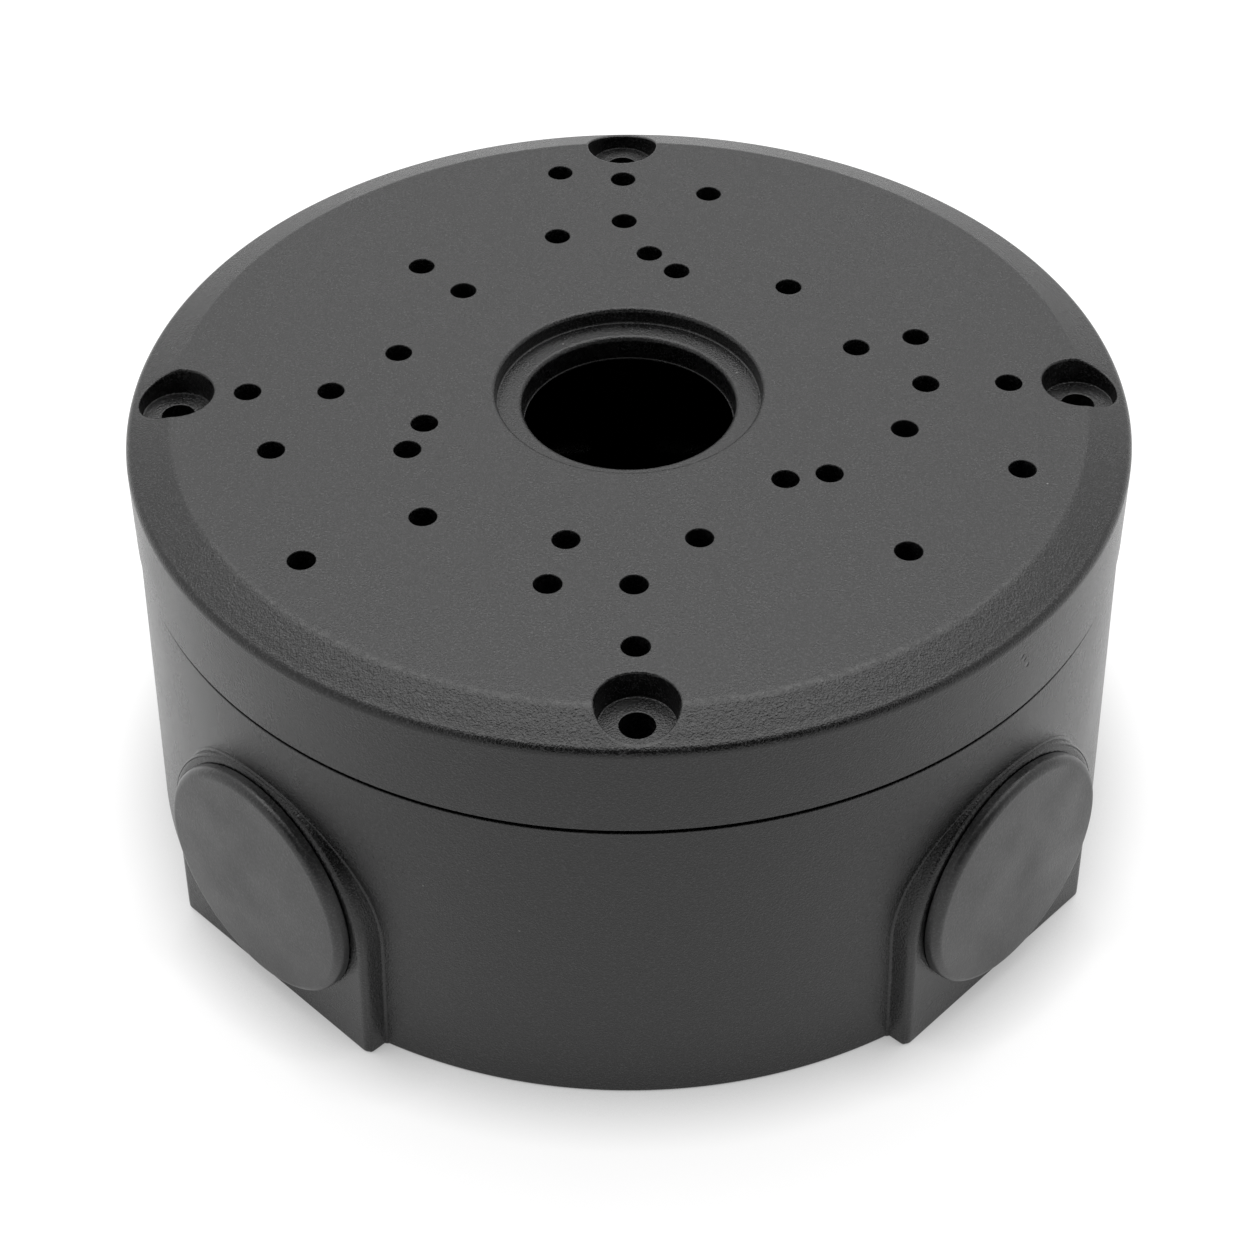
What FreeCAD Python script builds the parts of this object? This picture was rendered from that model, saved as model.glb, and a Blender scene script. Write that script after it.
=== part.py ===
"""Round camera junction box: cast base and cover, gasket, two plugged side entries, grommet, earth point.

Millimetres. The origin is the centre of the base's underside, +Z is up through the cover,
and the two plugged entries face front left and front right, with the front at -Y.
"""
import FreeCAD
import Part
import math
import os

# Cover
RIM_RADIUS = 68.0               # sharp corner between the sloped edge band and the cover's side
RIM_ROUNDING = 1.2
EDGE_BAND_WIDTH = 6.1           # sloped band round the flat face
EDGE_BAND_DROP = 1.5
COVER_SIDE_HEIGHT = 13.7        # from the seam up to the rim corner
COVER_DRAFT = 1.0               # degrees, the side flares towards the seam
COVER_PLATE = 3.5
COVER_WALL = 4.0
COVER_INNER_CORNER = 2.0

# Base
BASE_HEIGHT = 47.8
BASE_DRAFT = 2.5                # degrees, the side flares towards the floor
BASE_STEP_IN = 0.2              # the base's rim stands this far inside the cover's edge
BASE_WALL_AT_RIM = 4.1
CAVITY_DRAFT = 0.5              # degrees, the cavity narrows towards the floor
FLOOR_THICKNESS = 3.2
FLOOR_INNER_CORNER = 3.0
EDGE_BREAK = 0.4                # small rounding of the cast outer edges

# Gasket between base and cover
SEAM_GAP = 0.4
GASKET_WIDTH = 1.8
GASKET_SIDE_CLEARANCE = 0.1
GROOVE_DEPTH = 1.4

# Cover's locating lip
LIP_DEPTH = 2.5
LIP_THICKNESS = 1.6
LIP_CLEARANCE = 0.4

# Cover screws: counterbores and through holes in the cover, pillars in the base
SCREW_COUNT = 4
SCREW_INSET = 6.5               # hole axis to the rim corner
COUNTERBORE_RADIUS = 5.2
COUNTERBORE_DRAFT = 5.0         # degrees
COUNTERBORE_DEPTH = 3.75
SCREW_HOLE_RADIUS = 2.2
SCREW_BOSS_WALL = 2.0
PILLAR_RADIUS = 5.5
PILLAR_TAPPING_RADIUS = 1.7
PILLAR_TAPPING_DEPTH = 14.0
PILLAR_LIP_CLEARANCE = 0.6

# Central cable hole
RECESS_RADIUS = 18.1
RECESS_DEPTH = 2.3
RECESS_ROUNDING = 0.4
CABLE_HOLE_RADIUS = 14.5
CABLE_HOLE_LENGTH = 3.75
CABLE_HOLE_ROUNDING = 1.0
RECESS_BOSS_WALL = 2.5

# Camera screw holes in the cover, on eight circles and one circle of pairs
CAMERA_HOLE_RADIUS = 1.8
CAMERA_CIRCLES = [56.8, 64.3, 75.8, 80.8, 83.0, 98.2, 103.4, 108.9]
CAMERA_COUNTS = [3, 3, 3, 4, 3, 3, 4, 3]
CAMERA_FIRST_ANGLES = [75.0, 83.7, 105.0, 0.0, 15.0, 75.0, 0.0, 100.0]
PAIRED_CIRCLE = 65.5            # six holes in three pairs
PAIRED_COUNT = 3
PAIRED_FIRST = 15.0
PAIRED_SPREAD = 30.0            # degrees between the two holes of a pair

# Side entries: arched pads on the base, with a threaded hole each
PAD_ANGLES = {"left": 225.0, "right": 315.0}
PAD_PROUD = 0.2                 # foot of the pad's face beyond the base's foot circle
PAD_LEAN = 2.0                  # degrees, the face leans in towards its top
PAD_HALF_WIDTH = 19.5
PAD_ARCH_HEIGHT = 19.0          # centre of the arch that ends the pad at its top
PAD_DRAFT = 5.0                 # degrees, the sides spread towards the wall
PAD_ROUNDING = 0.8
PAD_ROOT_DEPTH = 14.0           # how far the pad's block runs in before the cavity is cut
ENTRY_HEIGHT = 20.5
ENTRY_RADIUS = 13.2
SEAL_SEAT_WIDTH = 2.2           # recessed ring round the entry for the plug's seal
SEAL_SEAT_DEPTH = 1.0

# Side plugs and their seals
PLUG_HEAD_RADIUS = 17.1
PLUG_HEAD_THICKNESS = 2.1
PLUG_HEAD_ROUNDING = 1.2
PLUG_DOME = 0.35
PLUG_HEAD_GAP = 0.4             # black line between the head and the pad
PLUG_SHANK_CLEARANCE = 0.2
PLUG_SHANK_LENGTH = 8.0
PLUG_WALL = 2.6
SEAL_EDGE_CLEARANCE = 0.15      # at the seal's inner and outer edge

# Base's floor: wall screw holes and the rear cable hole with its grommet
WALL_HOLE_COUNT = 4
WALL_HOLE_CIRCLE = 92.0
WALL_HOLE_FIRST = 45.0
WALL_HOLE_RADIUS = 2.75
REAR_HOLE_RADIUS = 11.0
REAR_RECESS_DEPTH = 1.2
GROMMET_FLANGE = 2.2            # how far its flanges reach past the hole
GROMMET_CLEARANCE = 0.2
GROMMET_FLANGE_THICKNESS = 1.0
GROMMET_SLEEVE_WALL = 2.2
GROMMET_SKIN = 0.8

# Earth point
EARTH_CIRCLE = 80.0
EARTH_ANGLE = 90.0
EARTH_BOSS_RADIUS = 5.0
EARTH_BOSS_HEIGHT = 4.0
EARTH_THREAD_RADIUS = 2.0
EARTH_THREAD_CLEARANCE = 0.1
EARTH_THREAD_LENGTH = 5.0
EARTH_HEAD_RADIUS = 3.9
EARTH_HEAD_HEIGHT = 2.4
EARTH_SLOT_WIDTH = 1.0
EARTH_SLOT_DEPTH = 1.1
WASHER_RADIUS = 4.5
WASHER_THICKNESS = 0.8
SPRING_WASHER_RADIUS = 3.6
SPRING_WASHER_THICKNESS = 1.0
SPRING_WASHER_GAP = 0.8
WASHER_HOLE_CLEARANCE = 0.2

# Places that follow from the sizes above
SEAM_Z = BASE_HEIGHT + SEAM_GAP
RIM_Z = SEAM_Z + COVER_SIDE_HEIGHT
TOP_Z = RIM_Z + EDGE_BAND_DROP
COVER_FOOT_RADIUS = RIM_RADIUS + COVER_SIDE_HEIGHT * math.tan(math.radians(COVER_DRAFT))
BASE_RIM_RADIUS = COVER_FOOT_RADIUS - BASE_STEP_IN
BASE_FOOT_RADIUS = BASE_RIM_RADIUS + BASE_HEIGHT * math.tan(math.radians(BASE_DRAFT))
CAVITY_RIM_RADIUS = BASE_RIM_RADIUS - BASE_WALL_AT_RIM
CAVITY_HEIGHT = BASE_HEIGHT - FLOOR_THICKNESS
CAVITY_FLOOR_RADIUS = CAVITY_RIM_RADIUS - CAVITY_HEIGHT * math.tan(math.radians(CAVITY_DRAFT))
SCREW_CIRCLE_RADIUS = RIM_RADIUS - SCREW_INSET
GROOVE_RADIUS = (CAVITY_RIM_RADIUS + BASE_RIM_RADIUS) / 2
PAD_FOOT_DISTANCE = BASE_FOOT_RADIUS + PAD_PROUD
SEAL_SEAT_RADIUS = ENTRY_RADIUS + SEAL_SEAT_WIDTH

TOLERANCE = 1e-4                # for finding edges by their place
UP = FreeCAD.Vector(0, 0, 1)
OUTWARD = FreeCAD.Vector(1, 0, 0)
SIDEWAYS = FreeCAD.Vector(0, 1, 0)


def point(x, y, z):
    """A point in space."""
    return FreeCAD.Vector(x, y, z)


def turned(profile, axis=UP):
    """Solid of revolution from (radius, height) corners, about Z or, with OUTWARD, about X."""
    if axis == UP:
        corners = [point(0, r, h) for r, h in profile]
    else:
        corners = [point(h, r, 0) for r, h in profile]
    face = Part.Face(Part.makePolygon(corners + corners[:1]))
    return face.revolve(point(0, 0, 0), axis, 360)


def cylinder(radius, low, high, x=0.0, y=0.0):
    """Upright cylinder between two heights."""
    return Part.makeCylinder(radius, high - low, point(x, y, low), UP)


def tube(outer, inner, low, high):
    """Upright ring with a rectangular section."""
    return cylinder(outer, low, high).cut(cylinder(inner, low, high))


def on_circle(radius, count, first=0.0):
    """Evenly spaced (x, y) places on a circle."""
    angles = [math.radians(first + i * 360.0 / count) for i in range(count)]
    return [(radius * math.cos(a), radius * math.sin(a)) for a in angles]


def circle_edges(shape, radius, height, axis=UP):
    """Circular edges of one radius whose centre lies at one height along the axis."""
    found = []
    for edge in shape.Edges:
        if edge.Degenerated or not isinstance(edge.Curve, Part.Circle):
            continue
        centre = edge.Curve.Center
        on_axis = centre.distanceToPoint(axis * height) < TOLERANCE
        if on_axis and abs(edge.Curve.Radius - radius) < TOLERANCE:
            found.append(edge)
    return found


def on_pad(shape, side, height):
    """Move a shape made about X, with the pad's face at x = 0, to a height on the pad of one side."""
    distance = PAD_FOOT_DISTANCE - height * math.tan(math.radians(PAD_LEAN))
    moved = shape.copy()
    moved.rotate(point(0, 0, 0), SIDEWAYS, -PAD_LEAN)
    moved.translate(point(distance, 0, height))
    moved.rotate(point(0, 0, 0), UP, PAD_ANGLES[side])
    return moved


def at_entry(shape, side):
    """Move a shape made about X, with the pad's face at x = 0, to the entry on one side."""
    return on_pad(shape, side, ENTRY_HEIGHT)


def base_body():
    """Outer form of the base, before its cavity."""
    body = turned([(0, 0), (BASE_FOOT_RADIUS, 0), (BASE_RIM_RADIUS, BASE_HEIGHT), (0, BASE_HEIGHT)])
    rim = circle_edges(body, BASE_RIM_RADIUS, BASE_HEIGHT)
    foot = circle_edges(body, BASE_FOOT_RADIUS, 0)
    return body.makeFillet(EDGE_BREAK, rim + foot)


def arch_wire(depth, half_width):
    """Arched outline of a pad, a depth behind its face, round the arch's centre."""
    foot = -2 * PAD_ARCH_HEIGHT
    foot_left = point(-depth, -half_width, foot)
    foot_right = point(-depth, half_width, foot)
    shoulder_left = point(-depth, -half_width, 0)
    shoulder_right = point(-depth, half_width, 0)
    crown = point(-depth, 0, half_width)
    edges = [
        Part.LineSegment(foot_left, foot_right).toShape(),
        Part.LineSegment(foot_right, shoulder_right).toShape(),
        Part.Arc(shoulder_right, crown, shoulder_left).toShape(),
        Part.LineSegment(shoulder_left, foot_left).toShape(),
    ]
    return Part.Wire(edges)


def pad(side):
    """Arched block that widens inwards with its draft, cut off level with the base's underside."""
    root_half_width = PAD_HALF_WIDTH + PAD_ROOT_DEPTH * math.tan(math.radians(PAD_DRAFT))
    root = arch_wire(PAD_ROOT_DEPTH, root_half_width)
    block = Part.makeLoft([root, arch_wire(0, PAD_HALF_WIDTH)], True, True)
    face_edges = []
    for edge in block.Edges:
        box = edge.BoundBox
        if box.XMin > -TOLERANCE and box.ZMax > -PAD_ARCH_HEIGHT:
            face_edges.append(edge)
    block = on_pad(block.makeFillet(PAD_ROUNDING, face_edges), side, PAD_ARCH_HEIGHT)
    reach = 2 * PAD_FOOT_DISTANCE
    above_floor = Part.makeBox(2 * reach, 2 * reach, BASE_HEIGHT, point(-reach, -reach, 0))
    return block.common(above_floor)


def base_housing():
    """Cast base: wall and floor, pads with threaded entries, pillars, earth boss and holes."""
    body = base_body()
    for side in PAD_ANGLES:
        body = body.fuse(pad(side))
    cavity = turned([
        (0, FLOOR_THICKNESS),
        (CAVITY_FLOOR_RADIUS, FLOOR_THICKNESS),
        (CAVITY_RIM_RADIUS, BASE_HEIGHT),
        (0, BASE_HEIGHT),
    ])
    inner_corner = circle_edges(cavity, CAVITY_FLOOR_RADIUS, FLOOR_THICKNESS)
    body = body.cut(cavity.makeFillet(FLOOR_INNER_CORNER, inner_corner))
    for x, y in on_circle(SCREW_CIRCLE_RADIUS, SCREW_COUNT):
        body = body.fuse(cylinder(PILLAR_RADIUS, FLOOR_THICKNESS / 2, BASE_HEIGHT, x, y))
    for x, y in on_circle(EARTH_CIRCLE / 2, 1, EARTH_ANGLE):
        top = FLOOR_THICKNESS + EARTH_BOSS_HEIGHT
        body = body.fuse(cylinder(EARTH_BOSS_RADIUS, FLOOR_THICKNESS / 2, top, x, y))
        hole = EARTH_THREAD_RADIUS + EARTH_THREAD_CLEARANCE
        body = body.cut(cylinder(hole, top - EARTH_THREAD_LENGTH, top, x, y))
    groove_outer = GROOVE_RADIUS + GASKET_WIDTH / 2 + GASKET_SIDE_CLEARANCE
    groove_inner = GROOVE_RADIUS - GASKET_WIDTH / 2 - GASKET_SIDE_CLEARANCE
    body = body.cut(tube(groove_outer, groove_inner, BASE_HEIGHT - GROOVE_DEPTH, BASE_HEIGHT))
    tapping_low = BASE_HEIGHT - PILLAR_TAPPING_DEPTH
    for x, y in on_circle(SCREW_CIRCLE_RADIUS, SCREW_COUNT):
        body = body.cut(cylinder(PILLAR_TAPPING_RADIUS, tapping_low, BASE_HEIGHT, x, y))
    for x, y in on_circle(WALL_HOLE_CIRCLE / 2, WALL_HOLE_COUNT, WALL_HOLE_FIRST):
        body = body.cut(cylinder(WALL_HOLE_RADIUS, 0, FLOOR_THICKNESS, x, y))
    body = body.cut(cylinder(REAR_HOLE_RADIUS, 0, FLOOR_THICKNESS))
    recess = REAR_HOLE_RADIUS + GROMMET_FLANGE + GROMMET_CLEARANCE
    body = body.cut(cylinder(recess, 0, REAR_RECESS_DEPTH))
    for side in PAD_ANGLES:
        through = 2 * PAD_ROOT_DEPTH
        entry = Part.makeCylinder(ENTRY_RADIUS, through, point(-PAD_ROOT_DEPTH, 0, 0), OUTWARD)
        seat = Part.makeCylinder(SEAL_SEAT_RADIUS, through, point(-SEAL_SEAT_DEPTH, 0, 0), OUTWARD)
        body = body.cut(at_entry(entry.fuse(seat), side))
    return body.removeSplitter()


def cover_shell():
    """Outer form of the cover with its rounded rim, hollow underneath."""
    flat_radius = RIM_RADIUS - EDGE_BAND_WIDTH
    shell = turned([
        (0, SEAM_Z),
        (COVER_FOOT_RADIUS, SEAM_Z),
        (RIM_RADIUS, RIM_Z),
        (flat_radius, TOP_Z),
        (0, TOP_Z),
    ])
    shell = shell.makeFillet(RIM_ROUNDING, circle_edges(shell, RIM_RADIUS, RIM_Z))
    shell = shell.makeFillet(EDGE_BREAK, circle_edges(shell, COVER_FOOT_RADIUS, SEAM_Z))
    ceiling = TOP_Z - COVER_PLATE
    hollow_radius = COVER_FOOT_RADIUS - COVER_WALL
    inner_top_radius = hollow_radius - (ceiling - SEAM_Z) * math.tan(math.radians(COVER_DRAFT))
    hollow = turned([(0, SEAM_Z), (hollow_radius, SEAM_Z), (inner_top_radius, ceiling), (0, ceiling)])
    hollow = hollow.makeFillet(COVER_INNER_CORNER, circle_edges(hollow, inner_top_radius, ceiling))
    return shell.cut(hollow)


def cover_lip():
    """Ring under the cover that locates it in the base, joined to the wall and open at the four pillars."""
    outer = CAVITY_RIM_RADIUS - LIP_CLEARANCE
    inner = outer - LIP_THICKNESS
    root = tube(COVER_FOOT_RADIUS - COVER_WALL / 2, inner, SEAM_Z, SEAM_Z + LIP_DEPTH)
    lip = tube(outer, inner, SEAM_Z - LIP_DEPTH, SEAM_Z)
    for x, y in on_circle(SCREW_CIRCLE_RADIUS, SCREW_COUNT):
        lip = lip.cut(cylinder(PILLAR_RADIUS + PILLAR_LIP_CLEARANCE, SEAM_Z - LIP_DEPTH, SEAM_Z, x, y))
    return lip.fuse(root)


def camera_hole_places():
    """(x, y) of every camera screw hole in the flat face."""
    places = []
    for diameter, count, first in zip(CAMERA_CIRCLES, CAMERA_COUNTS, CAMERA_FIRST_ANGLES):
        places += on_circle(diameter / 2, count, first)
    for first in (PAIRED_FIRST, PAIRED_FIRST + PAIRED_SPREAD):
        places += on_circle(PAIRED_CIRCLE / 2, PAIRED_COUNT, first)
    return places


def cover_plate():
    """Cast cover: shell, lip, bosses, recess, cable hole, counterbores and camera screw holes."""
    ceiling = TOP_Z - COVER_PLATE
    recess_floor = TOP_Z - RECESS_DEPTH
    cover = cover_shell().fuse(cover_lip())
    cable_hole_low = recess_floor - CABLE_HOLE_LENGTH
    boss_radius = RECESS_RADIUS + RECESS_BOSS_WALL
    cover = cover.fuse(cylinder(boss_radius, cable_hole_low, ceiling + COVER_PLATE / 2))
    for x, y in on_circle(SCREW_CIRCLE_RADIUS, SCREW_COUNT):
        boss = cylinder(COUNTERBORE_RADIUS + SCREW_BOSS_WALL, SEAM_Z, ceiling + COVER_PLATE / 2, x, y)
        cover = cover.fuse(boss.common(cylinder(RIM_RADIUS - COVER_WALL / 2, SEAM_Z, TOP_Z)))
    cover = cover.cut(cylinder(RECESS_RADIUS, recess_floor, TOP_Z))
    cover = cover.cut(cylinder(CABLE_HOLE_RADIUS, cable_hole_low, TOP_Z))
    cover = cover.makeFillet(CABLE_HOLE_ROUNDING, circle_edges(cover, CABLE_HOLE_RADIUS, recess_floor))
    cover = cover.makeFillet(RECESS_ROUNDING, circle_edges(cover, RECESS_RADIUS, TOP_Z))
    counterbore_floor = TOP_Z - COUNTERBORE_DEPTH
    shrink = COUNTERBORE_DEPTH * math.tan(math.radians(COUNTERBORE_DRAFT))
    for x, y in on_circle(SCREW_CIRCLE_RADIUS, SCREW_COUNT):
        floor_centre = point(x, y, counterbore_floor)
        counterbore = Part.makeCone(
            COUNTERBORE_RADIUS - shrink, COUNTERBORE_RADIUS, COUNTERBORE_DEPTH, floor_centre, UP)
        cover = cover.cut(counterbore.fuse(cylinder(SCREW_HOLE_RADIUS, SEAM_Z, TOP_Z, x, y)))
    for x, y in camera_hole_places():
        cover = cover.cut(cylinder(CAMERA_HOLE_RADIUS, ceiling, TOP_Z, x, y))
    return cover.removeSplitter()


def cover_gasket():
    """Rubber ring that fills the groove's depth and holds the cover off the base."""
    half = GASKET_WIDTH / 2
    return tube(GROOVE_RADIUS + half, GROOVE_RADIUS - half, BASE_HEIGHT - GROOVE_DEPTH, SEAM_Z)


def side_plug(side):
    """Blanking plug: domed round head on a hollow shank."""
    head_back = PLUG_HEAD_GAP
    head_edge = head_back + PLUG_HEAD_THICKNESS - PLUG_DOME
    crown = head_back + PLUG_HEAD_THICKNESS
    shank = ENTRY_RADIUS - PLUG_SHANK_CLEARANCE
    tip = -PLUG_SHANK_LENGTH
    hollow = shank - PLUG_WALL
    dome_radius = (PLUG_HEAD_RADIUS ** 2 + PLUG_DOME ** 2) / (2 * PLUG_DOME)
    half_angle = math.asin(PLUG_HEAD_RADIUS / dome_radius) / 2
    middle_radius = dome_radius * math.sin(half_angle)
    middle = crown - dome_radius * (1 - math.cos(half_angle))
    corners = [
        point(crown, 0, 0),
        point(head_back, 0, 0),
        point(head_back, hollow, 0),
        point(tip, hollow, 0),
        point(tip, shank, 0),
        point(head_back, shank, 0),
        point(head_back, PLUG_HEAD_RADIUS, 0),
        point(head_edge, PLUG_HEAD_RADIUS, 0),
    ]
    edges = [Part.LineSegment(a, b).toShape() for a, b in zip(corners, corners[1:])]
    dome = Part.Arc(corners[-1], point(middle, middle_radius, 0), corners[0]).toShape()
    plug = Part.Face(Part.Wire(edges + [dome])).revolve(point(0, 0, 0), OUTWARD, 360)
    rim = circle_edges(plug, PLUG_HEAD_RADIUS, head_edge, OUTWARD)
    return at_entry(plug.makeFillet(PLUG_HEAD_ROUNDING, rim), side)


def side_plug_seal(side):
    """Rubber ring in the seat round the entry, pressed by the plug's head."""
    seat = -SEAL_SEAT_DEPTH
    outer = SEAL_SEAT_RADIUS - SEAL_EDGE_CLEARANCE
    inner = ENTRY_RADIUS + SEAL_EDGE_CLEARANCE
    ring = turned([(inner, seat), (outer, seat), (outer, PLUG_HEAD_GAP), (inner, PLUG_HEAD_GAP)], OUTWARD)
    return at_entry(ring, side)


def rear_grommet():
    """Rubber grommet: sleeve through the floor, a flange on each side, and a skin to pierce."""
    sleeve = REAR_HOLE_RADIUS - GROMMET_CLEARANCE
    flange = REAR_HOLE_RADIUS + GROMMET_FLANGE
    top = FLOOR_THICKNESS + GROMMET_FLANGE_THICKNESS
    lower_face = REAR_RECESS_DEPTH - GROMMET_FLANGE_THICKNESS
    opening = sleeve - GROMMET_SLEEVE_WALL
    return turned([
        (0, REAR_RECESS_DEPTH),
        (opening, REAR_RECESS_DEPTH),
        (opening, lower_face),
        (flange, lower_face),
        (flange, REAR_RECESS_DEPTH),
        (sleeve, REAR_RECESS_DEPTH),
        (sleeve, FLOOR_THICKNESS),
        (flange, FLOOR_THICKNESS),
        (flange, top),
        (opening, top),
        (opening, REAR_RECESS_DEPTH + GROMMET_SKIN),
        (0, REAR_RECESS_DEPTH + GROMMET_SKIN),
    ])


def at_earth(shape):
    """Move a shape made on the Z axis to the earth boss, standing on its top."""
    x, y = on_circle(EARTH_CIRCLE / 2, 1, EARTH_ANGLE)[0]
    moved = shape.copy()
    moved.translate(point(x, y, FLOOR_THICKNESS + EARTH_BOSS_HEIGHT))
    return moved


def earth_clamp_washer():
    """Plain washer on the earth boss."""
    hole = EARTH_THREAD_RADIUS + WASHER_HOLE_CLEARANCE
    return at_earth(tube(WASHER_RADIUS, hole, 0, WASHER_THICKNESS))


def earth_spring_washer():
    """Split spring washer on the clamp washer."""
    hole = EARTH_THREAD_RADIUS + WASHER_HOLE_CLEARANCE
    top = WASHER_THICKNESS + SPRING_WASHER_THICKNESS
    ring = tube(SPRING_WASHER_RADIUS, hole, WASHER_THICKNESS, top)
    corner = point(0, -SPRING_WASHER_GAP / 2, WASHER_THICKNESS)
    split = Part.makeBox(SPRING_WASHER_RADIUS, SPRING_WASHER_GAP, SPRING_WASHER_THICKNESS, corner)
    return at_earth(ring.cut(split))


def earth_screw():
    """Slotted cheese-head screw through both washers into the boss."""
    head_low = WASHER_THICKNESS + SPRING_WASHER_THICKNESS
    head_top = head_low + EARTH_HEAD_HEIGHT
    tip = EARTH_THREAD_RADIUS - EARTH_THREAD_LENGTH
    screw = turned([
        (0, tip),
        (EARTH_THREAD_RADIUS, tip),
        (EARTH_THREAD_RADIUS, head_low),
        (EARTH_HEAD_RADIUS, head_low),
        (EARTH_HEAD_RADIUS, head_top),
        (0, head_top),
    ])
    corner = point(-EARTH_HEAD_RADIUS, -EARTH_SLOT_WIDTH / 2, head_top - EARTH_SLOT_DEPTH)
    slot = Part.makeBox(2 * EARTH_HEAD_RADIUS, EARTH_SLOT_WIDTH, EARTH_SLOT_DEPTH, corner)
    return at_earth(screw.cut(slot))


def build_parts():
    """Every piece by its node name."""
    pieces = {
        "base_housing": base_housing(),
        "cover_plate": cover_plate(),
        "cover_gasket": cover_gasket(),
        "rear_grommet": rear_grommet(),
        "earth_screw": earth_screw(),
        "earth_clamp_washer": earth_clamp_washer(),
        "earth_spring_washer": earth_spring_washer(),
    }
    for side in PAD_ANGLES:
        pieces["side_plug_" + side] = side_plug(side)
        pieces["side_plug_seal_" + side] = side_plug_seal(side)
    return pieces


def main():
    """Write one STEP file for each piece."""
    os.makedirs("parts", exist_ok=True)
    for name, shape in build_parts().items():
        box = shape.BoundBox
        print(
            f"{name}: solids {len(shape.Solids)}, valid {shape.isValid()}, volume {shape.Volume:.1f}, "
            f"x {box.XMin:.2f} to {box.XMax:.2f}, y {box.YMin:.2f} to {box.YMax:.2f}, "
            f"z {box.ZMin:.2f} to {box.ZMax:.2f}")
        shape.exportStep(f"parts/{name}.step")


main()
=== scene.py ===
"""Looks of a round cast junction box: cover, base, side plugs, seals, grommet and earth point.

Sizes are in millimetres in the frame of the CAD model, and meshes are made in metres.
+Z is up through the cover, and the two plugged entries face front left and front right.
"""

import logging
import math
from dataclasses import dataclass
from enum import Enum

import bmesh
import bpy
import numpy as np
from mathutils import Matrix, Vector
from mathutils.geometry import delaunay_2d_cdt


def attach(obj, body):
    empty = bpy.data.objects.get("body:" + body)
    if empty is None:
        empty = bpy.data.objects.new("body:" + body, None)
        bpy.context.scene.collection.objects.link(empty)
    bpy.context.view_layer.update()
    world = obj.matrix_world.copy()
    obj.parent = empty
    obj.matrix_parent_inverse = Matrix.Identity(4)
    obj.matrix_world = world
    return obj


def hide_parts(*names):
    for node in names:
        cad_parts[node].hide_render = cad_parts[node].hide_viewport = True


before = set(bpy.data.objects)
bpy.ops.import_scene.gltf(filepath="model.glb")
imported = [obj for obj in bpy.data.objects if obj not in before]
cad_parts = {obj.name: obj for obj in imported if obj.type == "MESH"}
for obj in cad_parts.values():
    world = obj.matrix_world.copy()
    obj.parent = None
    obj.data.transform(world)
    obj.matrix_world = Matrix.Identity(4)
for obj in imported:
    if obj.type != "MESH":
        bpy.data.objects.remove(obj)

LOG = logging.getLogger("junction_box")
MM = 0.001                      # metres in a millimetre
PAST = 1.0                      # how far a cutting form reaches past what it cuts, in millimetres
ROOT = "root"                   # the only body of a box whose pieces don't move
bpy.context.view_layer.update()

Point = tuple[float, float, float]
Corner = tuple[float, float, float]     # radius, height, rounding
Profile = list[tuple[float, float]]     # radius, height
Inputs = dict[str | int, object]        # values or sockets by input


# Profiles and turned forms

def softened(corners: list[Corner], closed: bool = False, step_deg: float = 13.0) -> Profile:
    """Round the corners of a profile.

    Args:
        corners: radius, height and rounding of each corner, in millimetres.
        closed: whether the last corner joins the first.
        step_deg: largest turn between two points of a rounding.

    Returns:
        The (radius, height) points of the rounded profile.
    """
    points: Profile = []
    count = len(corners)
    for i, (r, z, rounding) in enumerate(corners):
        at_end = not closed and i in (0, count - 1)
        if rounding <= 0.0 or at_end:
            points.append((r, z))
            continue
        here = np.array([r, z])
        back = np.array(corners[i - 1][:2]) - here
        ahead = np.array(corners[(i + 1) % count][:2]) - here
        back /= np.linalg.norm(back)
        ahead /= np.linalg.norm(ahead)
        turn = math.pi - math.acos(float(np.clip(back @ ahead, -1.0, 1.0)))
        tangent = rounding * math.tan(turn / 2)
        middle = (back + ahead) / np.linalg.norm(back + ahead)
        centre = here + middle * rounding / math.cos(turn / 2)
        first = here + back * tangent - centre
        last = here + ahead * tangent - centre
        steps = max(2, math.ceil(math.degrees(turn) / step_deg))
        for k in range(steps + 1):
            share = k / steps
            weight_a = math.sin((1 - share) * turn) / math.sin(turn)
            weight_b = math.sin(share * turn) / math.sin(turn)
            arc = centre + first * weight_a + last * weight_b
            points.append((float(arc[0]), float(arc[1])))
    return points


def full_turn(steps: int) -> np.ndarray:
    """Even angles all the way round, in radians."""
    return np.arange(steps) * (2 * math.pi / steps)


def quarter_round(size: float, steps: int) -> Profile:
    """Places along a rounded edge, from its upright side to its level side.

    Args:
        size: radius of the rounding, in millimetres.
        steps: number of steps along it.

    Returns:
        How far each place lies in from the upright side and off the level side.
    """
    leans = [math.pi / 2 * k / steps for k in range(steps + 1)]
    return [(size * (1 - math.cos(lean)), size * (1 - math.sin(lean))) for lean in leans]


def triangles(places: list[tuple[float, float]], border: int, label: str) -> tuple[list[Vector], list]:
    """Fill a flat outline with triangles.

    Args:
        places: the outline's points in order, then the points inside it.
        border: number of points in the outline.
        label: what is filled, for the log.

    Returns:
        The points, and the faces between them by number.
    """
    edges = [(i, (i + 1) % border) for i in range(border)]
    points, _, faces, *_ = delaunay_2d_cdt([Vector(p) for p in places], edges, [], 1, 1e-6)
    if len(points) != len(places):
        LOG.warning("%s got %d points for %d", label, len(points), len(places))
    return points, faces


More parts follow.
